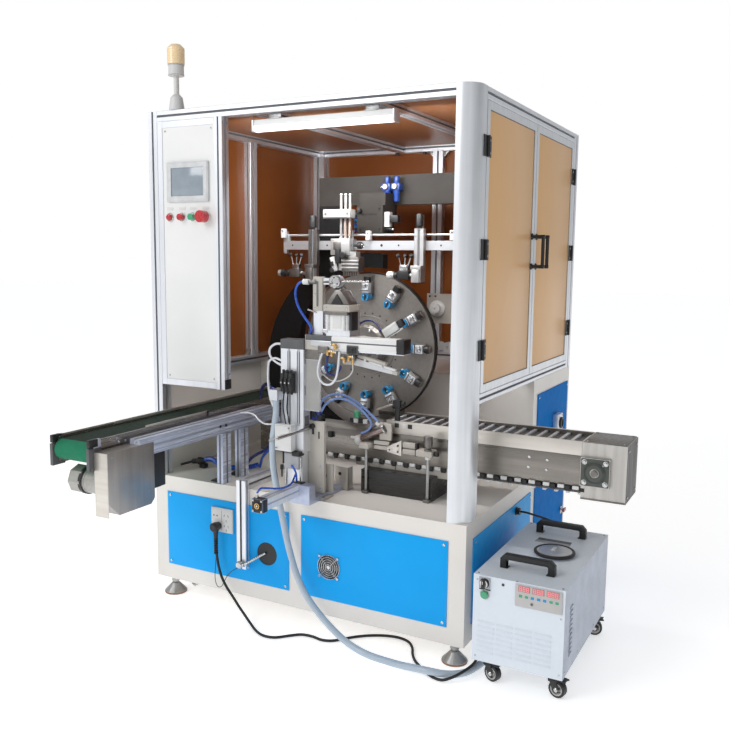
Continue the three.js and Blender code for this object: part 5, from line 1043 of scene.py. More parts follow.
def makeSupportFittings(box, air, column):
    trim = Piece(
        "support_fittings", "machine", "dark_steel", chrome, whitePlastic, blackPlastic, bluePlastic,
        deepBluePlastic, beigeSteel, regulatorBlue,
    )
    (x0, x1), face, (z0, z1) = box["x"], box["y"], box["z"]
    trim.screws((x0 + 13, x1 - 13), face, (z0 + 13, z1 - 13), toFront, 5, 2)
    trim.block((x0 + 24, face - 1.5, z1 - 34), (x1 - 24, face + 1, z1 - 30), 2)
    trim.rod((x0 + 14, face - 16, z1 - 20), (x0 + 14, face + 1, z1 - 20), 8, 2, 20, 1)
    trim.rod((x0 - 14, face + 20, z1 - 32), (x0 + 14, face - 12, z1 - 24), 2.4, 0, 10)
    trim.block((x1, face + 12, z0 + 22), (x1 + 20, face + 42, z1 - 24), 1, 2)
    trim.block((x1 + 20, face + 14, z0 + 38), (x1 + 54, face + 40, z1 - 36), 2, 2)
    trim.rod((x1, face + 26, z0 + 14), (x1 + 26, face + 26, z0 + 14), 7, 2, 16, 1)
    trim.rod((x1 + 26, face + 26, z0 + 14), (x1 + 34, face + 26, z0 + 14), 5, 0, 16, 1)
    for i in range(9):
        trim.ring((x0 - 20, face + 40, z0 + 8 + i * 8), (0, 0.1, 1), 11, 2.6, (4, 2, 3)[i % 3], 18)
    face, (z0, z1), radius = air["face"], air["z"], air["radius"]
    y = face - 24
    bowl = [
        (0, 0), (0, radius * 0.5), (4, radius * 0.86), (34, radius * 0.9), (36, radius), (42, radius),
        (42, 0),
    ]
    for x in air["x"]:
        trim.turned((x, y, z0), up, bowl, 6, 24)
        trim.block((x - 17, y - 15, z0 + 42), (x + 17, face, z0 + 68), 6, 3)
        trim.rod((x, y, z0 + 68), (x, y, z1), radius * 0.8, 6, 20, 2)
        trim.rod((x, y - 15, z0 + 55), (x, y - 21, z0 + 55), 11, 2, 24, 1)
        trim.rod((x, y - 21, z0 + 55), (x, y - 21.6, z0 + 55), 9, 1, 24)
        trim.rod((x - 26, y, z0 + 55), (x - 17, y, z0 + 55), 5, 0, 14, 0.6)
    face = column["face"]
    x0, x1, z0, z1 = column["plate"]
    trim.block((x0, face - 7, z0), (x1, face + 0.6, z1), 5, 1.2)
    for x, z in (
        (x0 + 12, z1 - 10), (x0 + 34, z1 - 10), (x1 - 14, z1 - 10), (x1 - 14, z0 + 12), (x0 + 12, z0 + 12),
    ):
        trim.screw((x, face - 7, z), toFront, 4.5, 0)
    trim.turned(((x0 + x1) / 2 - 20, face - 7, (z0 + z1) / 2), toFront, [
        (0, 0), (0, 30), (6, 30), (8, 26), (8, 18), (16, 16), (22, 16), (22, 6), (12, 5), (12, 0),
    ], 1, 32)
    for x, z, radius in column["rollers"]:
        trim.turned((x, face + 0.6, z), toFront, [
            (0, 0), (0, radius), (3, radius), (4, radius - 3), (14, radius - 3), (15, radius), (18, radius),
            (18, 5), (14, 4), (14, 0),
        ], 1, 28)
    trim.rod((x0 + 6, face - 3, z0), (x0 + 6, face - 3, z0 - 90), 3, 0, 10)
    for x in (425, 556):
        trim.rod((x, 1085, 1688), (x, 1085, 1676), 8, 2, 16, 1)
    trim.done()


# Dial: twelve holders, each a clamp block with a clevis, a bright boss, a black knob outside and a blue cup
# inside
dialHolders = dict(
    middle=(640, 918), count=12, plateY=430, block=(192, 228), half=14, front=400, knob=(240, 13),
    cup=(178, 15),
    hubFace=390, hubBolts=(62, 8), pins=(118, 24),
)


def makeDialHolders(v):
    x, z = v["middle"]
    metal = Piece("dial_clamps", "dial", "aluminium", aluminium, chrome, darkSteel)
    knobs = Piece("dial_knobs", "dial", "black_plastic", blackPlastic, darkGreyPlastic)
    cups = Piece("dial_cups", "dial", "grey_plastic", bluePlastic, blackPlastic, whitePlastic)
    front, back, half = v["front"], v["plateY"], v["half"] + 0.6
    (low, high), (knobAt, knobRadius), (cupAt, cupRadius) = v["block"], v["knob"], v["cup"]
    middle = (back + front) / 2 - 2
    knobShape = [
        (0, 0), (0, 7), (4, 8), (5, knobRadius), (9, knobRadius + 0.6), (22, knobRadius + 0.6),
        (24, knobRadius - 1.5), (24, 0),
    ]
    cupShape = [
        (4, 0), (4, cupRadius - 6), (0, cupRadius - 5), (0, cupRadius - 1), (1.5, cupRadius),
        (back - front + 4, cupRadius), (back - front + 6, cupRadius - 2), (back - front + 6, 0),
    ]
    for i in range(v["count"]):
        # each holder's own X points out from the hub and its Z along the rim
        turn = turnedAt((x, 0, z), -math.pi / 2 + math.tau * i / v["count"])
        metal.block((low - 0.6, front - 3, -half), (high + 0.6, back - 12, half), 0, 2.5, turn=turn)
        metal.block((low + 4, front - 9, -half + 3), (low + 16, front - 2, half - 3), 0, 2, turn=turn)
        metal.block((low + 19, front - 13, -7), (high - 3, front - 2, 7), 1, 2.5, turn=turn)
        metal.rod((low + 27, front - 13, 0), (low + 27, front - 17, 0), 5.4, 1, 18, 0.8, turn=turn)
        metal.rod((low + 10, front - 11, -half - 2), (low + 10, front - 11, half + 2), 2.4, 2, 10, turn=turn)
        metal.block((low - 2, back - 12, -half - 4), (high + 5, back + 0.4, half + 4), 2, 1.5, turn=turn)
        for side in (-1, 1):
            metal.screw(turn @ Vector((high - 8, front - 3, side * (half - 4))), toFront, 2.6, 1)
        knobs.turned((knobAt - 14, middle, 0), toRight, knobShape, 0, 20, turn=turn)
        knobs.rod((knobAt + 10, middle, 0), (knobAt + 10.6, middle, 0), 6, 1, 16, turn=turn)
        cups.turned((cupAt, front - 6, 0), toBack, cupShape, 0, 24, turn=turn)
        cups.block((cupAt - 12, front - 7.2, -2.6), (cupAt + 10, front - 1, 2.6), 1, 0.8, turn=turn)
        cups.rod((cupAt + 5, front - 7.6, 4), (cupAt + 5, front - 2, 4), 2.2, 2, 12, turn=turn)
    for piece in (metal, knobs, cups):
        piece.done()
    hub = Piece("dial_hub_bolts", "dial", "dark_steel", chrome, darkSteel, blackPlastic)
    face = v["hubFace"]
    for u, w in circle(x, z, *v["hubBolts"], 22.5):
        hub.screw((u, face, w), toFront, 5)
    hub.turned((x, face, z), toFront, [(0, 0), (0, 40), (5, 40), (7, 36), (7, 22), (3, 20), (3, 0)], 1, 40)
    hub.ring((x, back - 0.8, z), toBack, 108, 1.4, 1, 60)
    for u, w in circle(x, z, *v["pins"], 7.5):
        hub.rod((u, back - 1, w), (u, back + 0.5, w), 3, 2, 10)
    hub.done()


# Upper unit: print head with its thumb knobs, toothed pad holder and coil springs; stations with clamps and
# knobs
printHead = dict(poles=(552, 570, 588), y=377, front=354)
# dark marks the station that stands in shade: its metal is painted dark steel as shade, and it takes the black
# knobs of its side
sideStations = dict(
    slide_left=dict(x=(411, 446), dark=True, reach=111), slide_right=dict(x=(838, 873), dark=False, reach=95),
)


def makeHead(v):
    head = Piece(
        "print_head_fittings", "head", "steel", headMetalShaded, chrome, blackPlastic, darkSteel, clampWhiteShaded,
        springSteel,
    )
    front = v["front"]
    head.block((523, front - 4, 1244), (602, 401, 1302), 0, 2.5)
    head.block((536, front - 6, 1262), (566, front - 3, 1290), 3, 1)
    head.turned((602, front + 14, 1278), toRight, [
        (0, 0), (0, 5), (24, 5), (24, 11), (28, 12.5), (38, 12.5), (42, 10), (42, 0),
    ], 2, 22)
    head.ring((645, front + 14, 1278), toRight, 8, 1.2, 1, 20)
    head.turned((584, front - 4, 1243), toFront, [
        (0, 0), (0, 5), (10, 5), (10, 11), (13, 12), (20, 12), (24, 9), (24, 0),
    ], 2, 22)
    head.block((570, front - 6, 1186), (639, 392, 1238), 3, 2)
    for row in (1200, 1212, 1224):
        head.block((569, front - 8.5, row - 2.6), (640, front - 4, row + 2.6), 0, 1.2)
    for x in [576 + i * 9.6 for i in range(7)]:
        head.rod((x, front + 4, 1190), (x, front + 4, 1170), 3.9, 3, 14, 1.4)
    head.block((546, front - 12, 1214), (566, front + 6, 1266), 2, 2)
    tilt = turnedAt((541, front - 8, 1212), math.radians(-16))
    head.block((-9, -6, -26), (9, 6, 26), 4, 2, turn=tilt)
    head.block((-11, -9, -6), (2, 8, 10), 2, 1.5, turn=tilt)
    head.rod((536, front - 20, 1190), (536, front, 1190), 8, 2, 18, 1.2)
    head.block((490, front - 2, 1376), (601, front + 40, 1405), 4, 2.5)
    for x in (502, 590):
        head.rod((x, front - 3, 1389), (x, front, 1389), 4.6, 3, 16)
    y = v["y"]
    for x in v["poles"]:
        head.rod((x, y, 1454), (x, y, 1460), 6.5, 1, 16, 1)
        head.rod((x, y, 1300), (x, y, 1308), 8, 1, 16, 1)
    # coil springs round the two right poles
    for x in v["poles"][1:]:
        for i in range(16):
            head.ring((x, y, 1311 + i * 3.7), (0.12, 0, 1), 7.6, 1.1, 5, 14)
    head.rod((606, front + 12, 1330), (606, front + 12, 1262), 4, 1, 12)
    head.done()

    rail = Piece("head_rail_fittings", "machine", "steel", chrome, blackPlastic, palePlastic)
    for x, radius, sides in ((703, 5, 16), (330, 3.4, 14), (480, 3.4, 14), (770, 3.4, 14), (930, 3.4, 14)):
        rail.rod((x, 399.85, 1279), (x, 401, 1279), radius, 1, sides)
    for x, z in ((297, 1340), (655, 1330), (975, 1330)):
        rail.block((x - 9, 385, z - 34), (x + 9, 401, z), 2, 2)
        rail.screw((x, 385, z - 8), toFront, 4, 0)
    rail.done()


def makeStations(stations):
    for body, v in stations.items():
        (x0, x1), dark, y, z = v["x"], v["dark"], 373.7, 1176  # y and z of the side knob's rod
        # Dark steel on the station in shade and the head's darker aluminium on the other: both are painted
        # shade on the same metal
        shadedSkin = darkSteel if dark else headMetalShaded
        station = Piece(
            body + "_fittings", body, "aluminium", shadedSkin, slotShade, blackPlastic, chrome, whitePlastic,
        )
        station.slottedBar(
            (x0 - 0.6, 381, 1153), (x1 + 0.6, 399.65, 1336), alongZ, faces="s", mouth=9, deep=3,
        )
        station.turned(((x0 + x1) / 2, 386, 1336), up, [
            (0, 0), (0, 9), (6, 9), (8, 13), (44, 13), (50, 10), (50, 0),
        ], 2, 22)
        station.block((x0 - 2, 356, 1196), (x1 + 2, 382, 1210), 0, 1.5)
        station.block((x0 + 3, 354, 1152), (x1 - 3, 381, 1197), 0, 2)
        knobX = x0 - v["reach"]
        station.rod((knobX + 20, y, z), (x0, y, z), 6, 3, 16)
        station.turned((knobX + 24, y, z), toLeft, [
            (0, 0), (0, 9), (6, 9), (8, 13.5), (22, 13.5), (26, 10), (26, 0),
        ], 2 if dark else 4, 22)
        station.rod((knobX + 24, y, z), (knobX + 38, y, z), 12, 2, 20, 1.5)
        station.block((knobX + 40, 361, 1163), (knobX + 84, 388, 1192), 0 if dark else 2, 2)
        station.block((knobX + 46, 366, 1190), (knobX + 78, 384, 1212), 3, 2)
        for step, lean in ((50, -0.3), (64, 0.1), (76, 0.45)):
            top = Vector((knobX + step + lean * 26, 372, 1240))
            station.rod((knobX + step, 374, 1208), top, 2.6, 3, 10)
            station.rod(top, top + Vector((lean * 10, -6, 6)), 7, 2, 16, 2)
        station.rod((knobX + 84, 372, 1180), (x0 + 4, 372, 1180), 3, 3, 10)
        station.done()


makeSupportFittings(motorBox, airRegulators, farColumn)
makeDialHolders(dialHolders)
makeHead(printHead)
makeStations(sideStations)
print("dial and upper unit dressed")


# Pick and place unit: column with its cap, valve block, cable clamp, slotted plate, lower cylinder, floor
# bracket
liftColumn = dict(x=(552, 638), y=(-10, 30), z=(690, 972), slots=(583, 619))
lowerCylinder = dict(x=(618, 652), y=(-262, -24), z=(478, 514), cap=(615, 655, 475, 517))
slottedPlate = dict(x=(600, 690), y=(33, 45), z=(468.6, 706))


def makeColumnFittings(column, cylinder, plate):
    trim = Piece(
        "lift_column_fittings", "machine", "aluminium", aluminium, slotShade, darkGreyPlastic, blackPlastic,
        whitePlastic, chrome, brass, beigeSteel, deepBluePlastic, greyPlastic,
    )
    (x0, x1), (y0, y1), (z0, z1) = column["x"], column["y"], column["z"]
    trim.block((x0 - 2, y0 - 2, z1 - 30), (x1 + 2, y1 + 2, z1 + 1.5), 2, 3)
    trim.block((x0 + 6, y0 - 2.6, z1 - 24), (x1 - 6, y0 - 1, z1 - 6), 2, 1)
    for x in column["slots"]:
        trim.block((x - 3.6, y0 - 0.3, z0 + 3), (x + 3.6, y0 + 1, z1 - 30), 1)
        trim.block((x - 1.2, y0 - 0.8, z0 + 3), (x + 1.2, y0 + 0.2, z1 - 30), 0)
    for z in (z0 + 20, z0 + 120, z1 - 60):
        trim.block((x1 - 0.4, y0 + 8, z - 16), (x1 + 1, y1 - 8, z + 16), 1, 0.5)
    # valve block: two rows of black bodies with their connectors
    for i in range(3):
        x = 566 + i * 15
        trim.block((x, y0 - 26, 806), (x + 13, y0, 866), 3, 2)
        trim.block((x + 2, y0 - 31, 822), (x + 11, y0 - 24, 850), 3, 1.5)
        trim.rod((x + 6.5, y0 - 16, 866), (x + 6.5, y0 - 16, 877), 4.2, 3, 14, 1)
        trim.rod((x + 6.5, y0 - 14, 806), (x + 6.5, y0 - 14, 797), 4.2, 3, 14, 1)
        trim.rod((x + 6.5, y0 - 31, 836), (x + 6.5, y0 - 32.5, 836), 2.6, 5, 12)
    trim.block((563, y0 - 5, 800), (612, y0, 872), 2, 1)
    # white clamp block that the hose and the cables run into
    trim.block((548, y0 - 32, 612), (611, y0 - 2, 700), 4, 3)
    trim.block((552, y0 - 36, 668), (607, y0 - 30, 696), 4, 2)
    trim.rod((604, y0 - 33, 690), (604, y0 - 36, 690), 3, 5, 12)
    trim.rod((556, y0 - 33, 622), (556, y0 - 36, 622), 3, 5, 12)
    trim.rod((530, y0 - 38, 642), (648, 31, 694), 4.6, 9, 18, 0.8)
    # small cylinder and its bracket under the clamp block
    trim.block((572, y0 - 14, 552), (628, y0 + 20, 604), 9, 3)
    trim.rod((600, y0 + 2, 604), (600, y0 + 2, 640), 6, 5, 16)
    trim.block((604, y0 - 18, 596), (634, y0 + 12, 612), 3, 2)
    trim.rod((566, y0 - 8, 566), (566, y0 - 8, 632), 3, 3, 12)
    trim.turned((560, y0 - 8, 560), down, [(0, 0), (0, 6), (14, 6), (18, 3), (40, 2.4), (40, 0)], 3, 16)
    trim.rod((628, y0 - 2, 590), (628, y0 - 2, 480), 3.4, 5, 12)
    trim.rod((568, y0 + 4, 604), (568, y0 + 4, 466), 5, 5, 14)
    # slotted plate's holes and knobs
    (x0, x1), (y0, y1), (z0, z1) = plate["x"], plate["y"], plate["z"]
    trim.block((x0 - 0.5, y0 - 0.9, z0), (x1 + 0.5, y1 + 0.5, z1 + 0.5), 7, 1.2)
    trim.block((644, y0 - 1.6, 662), (653, y0 - 0.5, 694), 3, 3)
    for x, z in ((627, 661), (671, 661)):
        trim.block((x - 2.6, y0 - 1.6, z - 12), (x + 2.6, y0 - 0.5, z + 12), 3, 2)
    trim.rod((648.5, y0 - 1, 690), (648.5, y0 - 12, 690), 9, 3, 18, 1.5)
    trim.rod((646, y0 - 12, 686), (646, y0 - 209, 686), 5.4, 5, 16, 1)
    trim.rod((646, y0 - 209, 686), (646, y0 - 213, 686), 3.2, 5, 14, 0.5)
    trim.screws((612, 678), y0 - 0.9, (486, 560), toFront, 4, 5)
    # blue pressure switch behind the column
    trim.block((638, 38, 708), (668, 62, 742), 8, 3)
    trim.rod((650, 38, 728), (650, 33, 728), 9, 3, 20, 1)
    trim.block((660, 36, 712), (676, 60, 726), 3, 2)
    trim.rod((660, 50, 742), (660, 50, 752), 5, 6, 14, 0.8)
    # lower cylinder: black square head with a brass ring, tube with a sensor rail, tie rods
    (x0, x1), (y0, y1), (z0, z1) = cylinder["x"], cylinder["y"], cylinder["z"]
    cx0, cx1, cz0, cz1 = cylinder["cap"]
    trim.slottedBar((x0 - 0.5, y0 + 24, z0 - 0.5), (x1 + 0.5, y1 - 20, z1 + 0.5), alongY, mouth=5, deep=2.4)
    for low, high in ((y0 - 1, y0 + 26), (y1 - 24, y1 + 1)):
        trim.block((cx0 - 0.5, low, cz0 - 0.5), (cx1 + 0.5, high, cz1 + 0.5), 3, 3)
    x, face, z = (x0 + x1) / 2, y0 - 1, (z0 + z1) / 2
    trim.turned((x, face, z), toFront, [(0, 0), (0, 13), (2.5, 13), (3, 11.5), (1, 10), (1, 0)], 3, 28)
    trim.turned((x, face, z), toFront, [(0, 6), (2.6, 6.2), (2.6, 9), (0, 9.4)], 6, 28)
    trim.rod((x, face - 3, z), (x, face, z), 3.2, 5, 16)
    trim.screws((x - 15, x + 15), face, (z - 16, z + 16), toFront, 3.2, 5)
    trim.turned((x0 + 8, y0 + 12, cz1), up, [(0, 0), (0, 5.5), (6, 5.5), (8, 3.5), (15, 3.5), (15, 0)], 5, 16)
    trim.turned((x0 + 8, y1 - 12, cz1), up, [(0, 0), (0, 5.5), (10, 5.5), (12, 4), (26, 4), (26, 0)], 5, 16)
    trim.block((x0 - 4, y0 + 120, z0 + 8), (x0, y0 + 160, z0 + 22), 3, 1.5)
    # foot bracket between the cylinder and the table
    trim.block((640, 62, 468), (706, 70, 560), 7, 1)
    trim.block((640, 10, tableZ), (706, 70, 458), 7, 1)
    trim.screws((652, 694), 24, 458, up, 4.5, 5)
    trim.turned((672, 62, 520), toFront, [(0, 0), (0, 11), (1, 11), (1, 0)], 3, 20)
    trim.done()


# Carriage and gripper: bright actuator bar with a black end, brass elbows, tower with a ring, stamp press,
# sensor
liftCarriage = dict(
    bar=((740, 990), (-6, 40), (945, 990)), tower=(656, 690, 22, 36), ring=(742, 1160),
    elbows=(
        (730, -14, 946, 1), (759, -16, 968, -1), (746, -16, 944, 1), (808, -18, 934, 1), (792, -18, 928, -1),
    ),
)


def makeCarriageFittings(v):
    trim = Piece(
        "lift_carriage_fittings", "carriage", "aluminium", aluminiumX, slotShade, darkGreyPlastic,
        blackPlastic,
        whitePlastic, chrome, brass, beigeSteel, darkSteel, whitePaint, plateGrey,
    )
    (x0, x1), (y0, y1), (z0, z1) = v["bar"]
    trim.block((x0 - 2, y0 - 2, z0 + 4), (x1 - 24, y1 + 1, z1 + 1.5), 9, 4)
    trim.block((x0 - 2, y0 - 3, z0 + 26), (x1 - 24, y0 - 1.4, z0 + 30), 1, 0.5)
    trim.block((x0 - 2, y0 - 3.4, z0 + 6), (x1 - 24, y0 - 1.4, z0 + 12), 9, 0.7)
    trim.block((x1 - 26, y0 - 3, z0 + 2), (x1 + 1, y1 + 1.5, z1 + 2), 3, 3)
    trim.block((795, y0 - 6, 938), (836, y0 + 24, 966), 2, 2.5)
    trim.block((800, y0 - 9, 942), (831, y0 - 4, 962), 3, 1.5)
    trim.rod((815, y0 - 9, 952), (815, y0 - 12, 952), 6, 3, 16, 0.6)
    # arm between the carriage plate and the bar
    trim.block((640, 2, 942), (744, 38, 964), 8, 2)
    trim.block((638.6, -1.4, 912), (691, 0.4, 944), 8, 0.6)
    trim.block((638.6, -4, 944), (742, 0.4, 972), 7, 1)
    trim.block((640, -2, 974), (742, 41, 991.2), 2, 1)
    trim.block((639.4, -1, 747), (691.2, 0.4, 911), 10, 0.6)
    trim.block((660, -6, 955), (742, 30, 975), 0, 2)
    trim.block((690, -10, 934), (728, 6, 958), 8, 2)
    # brass elbows with their stems
    for x, y, z, way in v["elbows"]:
        trim.rod((x, y, z), (x, y, z - 16), 4.6, 6, 14, 0.8)
        trim.rod((x, y, z - 2), (x + way * 13, y, z - 2), 4.2, 6, 14, 0.8)
        trim.ring((x, y, z - 12), up, 5, 1.3, 6, 14)
        trim.rod((x + way * 13, y, z - 2), (x + way * 17, y, z - 2), 5.2, 5, 14, 0.8)
    trim.rod((822, -18, 934), (822, -18, 908), 3.6, 6, 14, 0.5)
    # tower: bright plate, two rods and the air fitting on its left
    tx0, tx1, ty0, ty1 = v["tower"]
    trim.block((tx0 - 1, ty0 - 4, 1066), (tx1 + 1, ty1 + 1, 1174), 7, 2)
    trim.block((tx0 + 13, ty0 - 5.5, 1080), (tx0 + 20, ty0 - 3.5, 1160), 1, 1)
    trim.screws(tx0 + 8, ty0 - 4, (1076, 1120, 1164), toFront, 3, 5)
    for x in (tx0 + 6, tx1 - 4):
        trim.rod((x, ty0 + 6, 988), (x, ty0 + 6, 1068), 5.4, 5, 18)
    trim.rod((636, 20, 1157), (668, 20, 1157), 7, 8, 18, 1)
    trim.rod((618, 20, 1157), (640, 20, 1157), 9, 4, 20, 2)
    trim.rod((640, 12, 1070), (668, 22, 1060), 2.4, 5, 10)
    # ring with its rod towards the dial
    rx, rz = v["ring"]
    trim.turned((rx, 14, rz), toFront, [
        (0, 0), (0, 18), (3, 20), (10, 20), (12, 17), (12, 9), (8, 8), (8, 0),
    ], 5, 32)
    for x, z in circle(rx, rz, 13, 3, 90):
        trim.screw((x, 2, z), toFront, 2.4, 3)
    trim.rod((rx + 16, 22, rz), (834, 60, 1161), 3, 5, 12)
    trim.rod((690, 26, 1157), (rx - 16, 20, rz), 4, 8, 14)
    # stamp press: white block, bright plate and a dark pyramid head with side arms
    trim.block((722, -8, 1008), (796, 34, 1068), 9, 4)
    trim.block((744, -10, 1016), (775, -7, 1060), 4, 1.5)
    for x in (730, 788):
        trim.rod((x, -8, 1010), (x, -8, 1066), 4, 5, 14)
    trim.block((712, -14, 1068), (806, 54, 1090), 7, 2.5)
    trim.block((718, -16, 1058), (800, 48, 1070), 8, 2)
    trim.screws((722, 796), -14, 1079, toFront, 4, 5)
    pyramid = [(716, 1090), (802, 1090), (790, 1108), (768, 1136), (750, 1136), (728, 1108)]
    trim.plate(pyramid, alongY, -6, 50, 8, edge=2)
    trim.plate([(738, 1092), (780, 1092), (759, 1124)], alongY, -10, -6, 3, edge=1)
    trim.block((798, -2, 1010), (808, 40, 1068), 3, 2)
    trim.rod((712, 6, 996), (712, 6, 1070), 4, 5, 12)
    trim.block((700, -2, 1000), (722, 26, 1012), 0, 2)
    # slim sensor arm on its rod, aimed at the dial
    lean = turnedAt((912, 62, 1014), math.radians(-33))
    trim.block((-26, -10, -13), (30, 10, 15), 4, 2, turn=lean)
    trim.block((30, -9, -11), (50, 9, 12), 3, 2, turn=lean)
    trim.block((-22, -11, 6), (26, -9.6, 12), 9, 0.5, turn=lean)
    trim.block((-128, -3, -19), (40, 3, -13), 5, 1, turn=lean)
    trim.block((784, 38, 944), (812, 66, 960), 8, 2)
    trim.rod((756, 40, 988), (800, 60, 968), 4, 5, 12)
    trim.done()

    grip = Piece("gripper_fittings", "grip", "aluminium", whitePaint, chrome, beigeSteel, darkSteel)
    grip.block((768, -2, 916), (820, 36, 938), 3, 2)
    grip.block((778, -5, 905), (812, 30, 918), 2, 2)
    slope = turnedAt((880, 17, 912), math.radians(12))
    grip.block((-60, -9, 4), (40, 9, 14), 2, 2, turn=slope)
    grip.block((-20, -6, -8), (76, 6, 3), 0, 2.5, turn=slope)
    grip.rod((-30, -10, 4), (-30, 10, 4), 5, 1, 14, turn=slope)
    grip.rod((30, -10, -2), (30, 10, -2), 4.4, 1, 14, turn=slope)
    grip.block((944, 6, 884), (962, 28, 894), 2, 2)
    grip.done()


# Air tubes and cables between the fittings, each pushed on at both ends
airTubes = [
    ("tower_tube", "carriage", "blue", 4.0, [
        (630, 20, 1157), (606, 18, 1154), (593, 16, 1134), (594, 14, 1104), (606, 13, 1074), (628, 13, 1044),
        (648, 14, 1018), (652, 16, 1000), (642, 18, 990),
    ]),
    ("press_tube", "carriage", "deepBlue", 3.2, [
        (775, 60, 985), (778, 72, 1002), (788, 80, 1022), (808, 84, 1036), (832, 82, 1038), (852, 74, 1032),
        (872, 62, 1020), (882, 52, 1011),
    ]),
    ("elbow_tube", "carriage", "deepBlue", 4.0, [
        (730, -14, 930), (728, -16, 908), (722, -12, 888), (727, -4, 872), (742, 4, 868), (756, 10, 880),
        (764, 12, 898),
    ]),
    ("loop_tube", "carriage", "white", 3.6, [
        (708, -10, 936), (704, -22, 908), (702, -27, 880), (710, -29, 856), (728, -30, 842), (750, -29, 843),
        (766, -28, 860), (774, -27, 890), (776, -24, 922), (774, -16, 944),
    ]),
    ("thin_loop_tube", "carriage", "clear", 2.4, [
        (822, -18, 908), (821, -17, 890), (808, -14, 872), (784, -10, 858), (756, -4, 850), (728, 2, 852),
        (704, 4, 866),
    ]),
    ("column_loop_low", "machine", "white", 3.8, [
        (553, -8, 902), (526, -5, 908), (500, 0, 896), (492, 4, 862), (491, 6, 822), (498, 4, 782),
        (514, -2, 752),
        (538, -12, 726), (552, -20, 704),
    ]),
    ("column_loop_high", "machine", "white", 3.8, [
        (553, -6, 956), (526, -4, 954), (503, -2, 936), (503, 0, 914), (520, 0, 898), (553, -6, 886),
    ]),
    ("column_tail", "machine", "white", 3.0, [
        (548, -14, 712), (534, -4, 700), (512, 8, 688), (482, 20, 680), (450, 34, 678), (420, 50, 684),
        (392, 66, 694), (356, 80, 697), (318, 86, 692),
    ]),
    ("rear_hose_a", "machine", "deepBlue", 6.0, [
        (250, 300, 706), (272, 276, 740), (306, 244, 768), (340, 216, 778), (364, 204, 766), (378, 202, 724),
        (383, 204, 664), (380, 206, 600), (362, 204, 560), (334, 200, 534), (300, 200, 516), (270, 204, 494),
        (250, 206, 466),
    ]),
    ("rear_hose_b", "machine", "blue", 5.0, [
        (352, 220, 770), (370, 214, 762), (386, 212, 730), (390, 214, 670), (388, 214, 610), (372, 212, 566),
        (350, 208, 538), (326, 206, 510), (312, 206, 470),
    ]),
    ("valve_cable_a", "machine", "black", 2.2, [
        (572.5, -24, 797), (574, -30, 778), (576, -34, 752), (580, -33, 726), (582, -28, 700),
    ]),
    ("valve_cable_b", "machine", "black", 2.2, [
        (587.5, -24, 797), (590, -31, 776), (592, -36, 750), (596, -34, 724), (598, -28, 700),
    ]),
    ("clamp_tube_a", "machine", "paleBlue", 4.2, [
        (660, 50, 752), (668, 62, 774), (684, 90, 788), (704, 126, 784), (730, 160, 762), (758, 182, 734),
        (784, 190, 710), (806, 190, 692),
    ]),
    ("clamp_tube_b", "machine", "paleBlue", 4.2, [
        (668, 50, 736), (682, 58, 762), (700, 90, 776), (722, 130, 766), (748, 166, 736), (772, 186, 702),
        (780, 192, 680), (766, 192, 658), (742, 190, 646),
    ]),
    ("cylinder_tube", "machine", "blue", 3.2, [
        (626, -250, 532), (632, -240, 544), (640, -214, 540), (644, -176, 530), (644, -130, 522),
        (640, -84, 524),
        (632, -56, 534), (626, -36, 543),
    ]),
    ("cylinder_loop", "machine", "blue", 3.0, [
        (600, -12, 552), (602, -24, 560), (612, -38, 568), (626, -46, 560), (634, -46, 544), (632, -42, 530),
        (628, -37, 518),
    ]),
    ("table_hose", "machine", "blue", 9.0, [
        (92, 150, 478), (110, 156, 486), (130, 160, 486), (152, 160, 476), (176, 164, 464), (200, 172, 462),
        (226, 184, 462), (248, 200, 462), (262, 224, 462), (266, 256, 462),
    ]),
    ("strut_wire", "machine", "black", 1.2, [
        (388, -12, 178), (372, -18, 170), (352, -22, 156), (334, -23, 136), (320, -22, 112), (308, -22, 94),
        (294, -22, 90), (284, -22, 104), (281, -22, 126), (284, -24, 152), (288, -26, 178), (291, -27, 206),
    ]),
]
tubeFinishes = dict(
    blue=blueHose, deepBlue=deepBlueHose, white=whiteHose, clear=clearHose, paleBlue=paleBlueHose,
    black=cordRubber,
)


def makeAirTubes(tubes, finishes):
    for name, body, color, radius, route in tubes:
        slot = "cable_rubber" if color == "black" else "grey_hose"
        layTube(
            name, body, slot, finishes[color], route, radius, far_end="object", stiffness="medium",
            lay="hanging",
        )
    plug = Piece("table_hose_fitting", "machine", "black_plastic", blackPlastic)
    plug.turned((94, 151, 479), (-0.9, -0.34, -0.1), [
        (-8, 0), (-8, 11), (2, 12), (6, 14), (18, 14), (22, 10), (40, 9), (44, 6), (44, 0),
    ], 0, 20)
    plug.rod((56, 137, 474), (16, 118, 462), 4.5, 0, 14, 0.8)
    plug.block((84, 140, tableZ - 0.2), (108, 164, 468), 0, 2)
    plug.done()


makeColumnFittings(liftColumn, lowerCylinder, slottedPlate)
makeCarriageFittings(liftCarriage)
makeAirTubes(airTubes, tubeFinishes)
print("pick unit and tubes dressed")


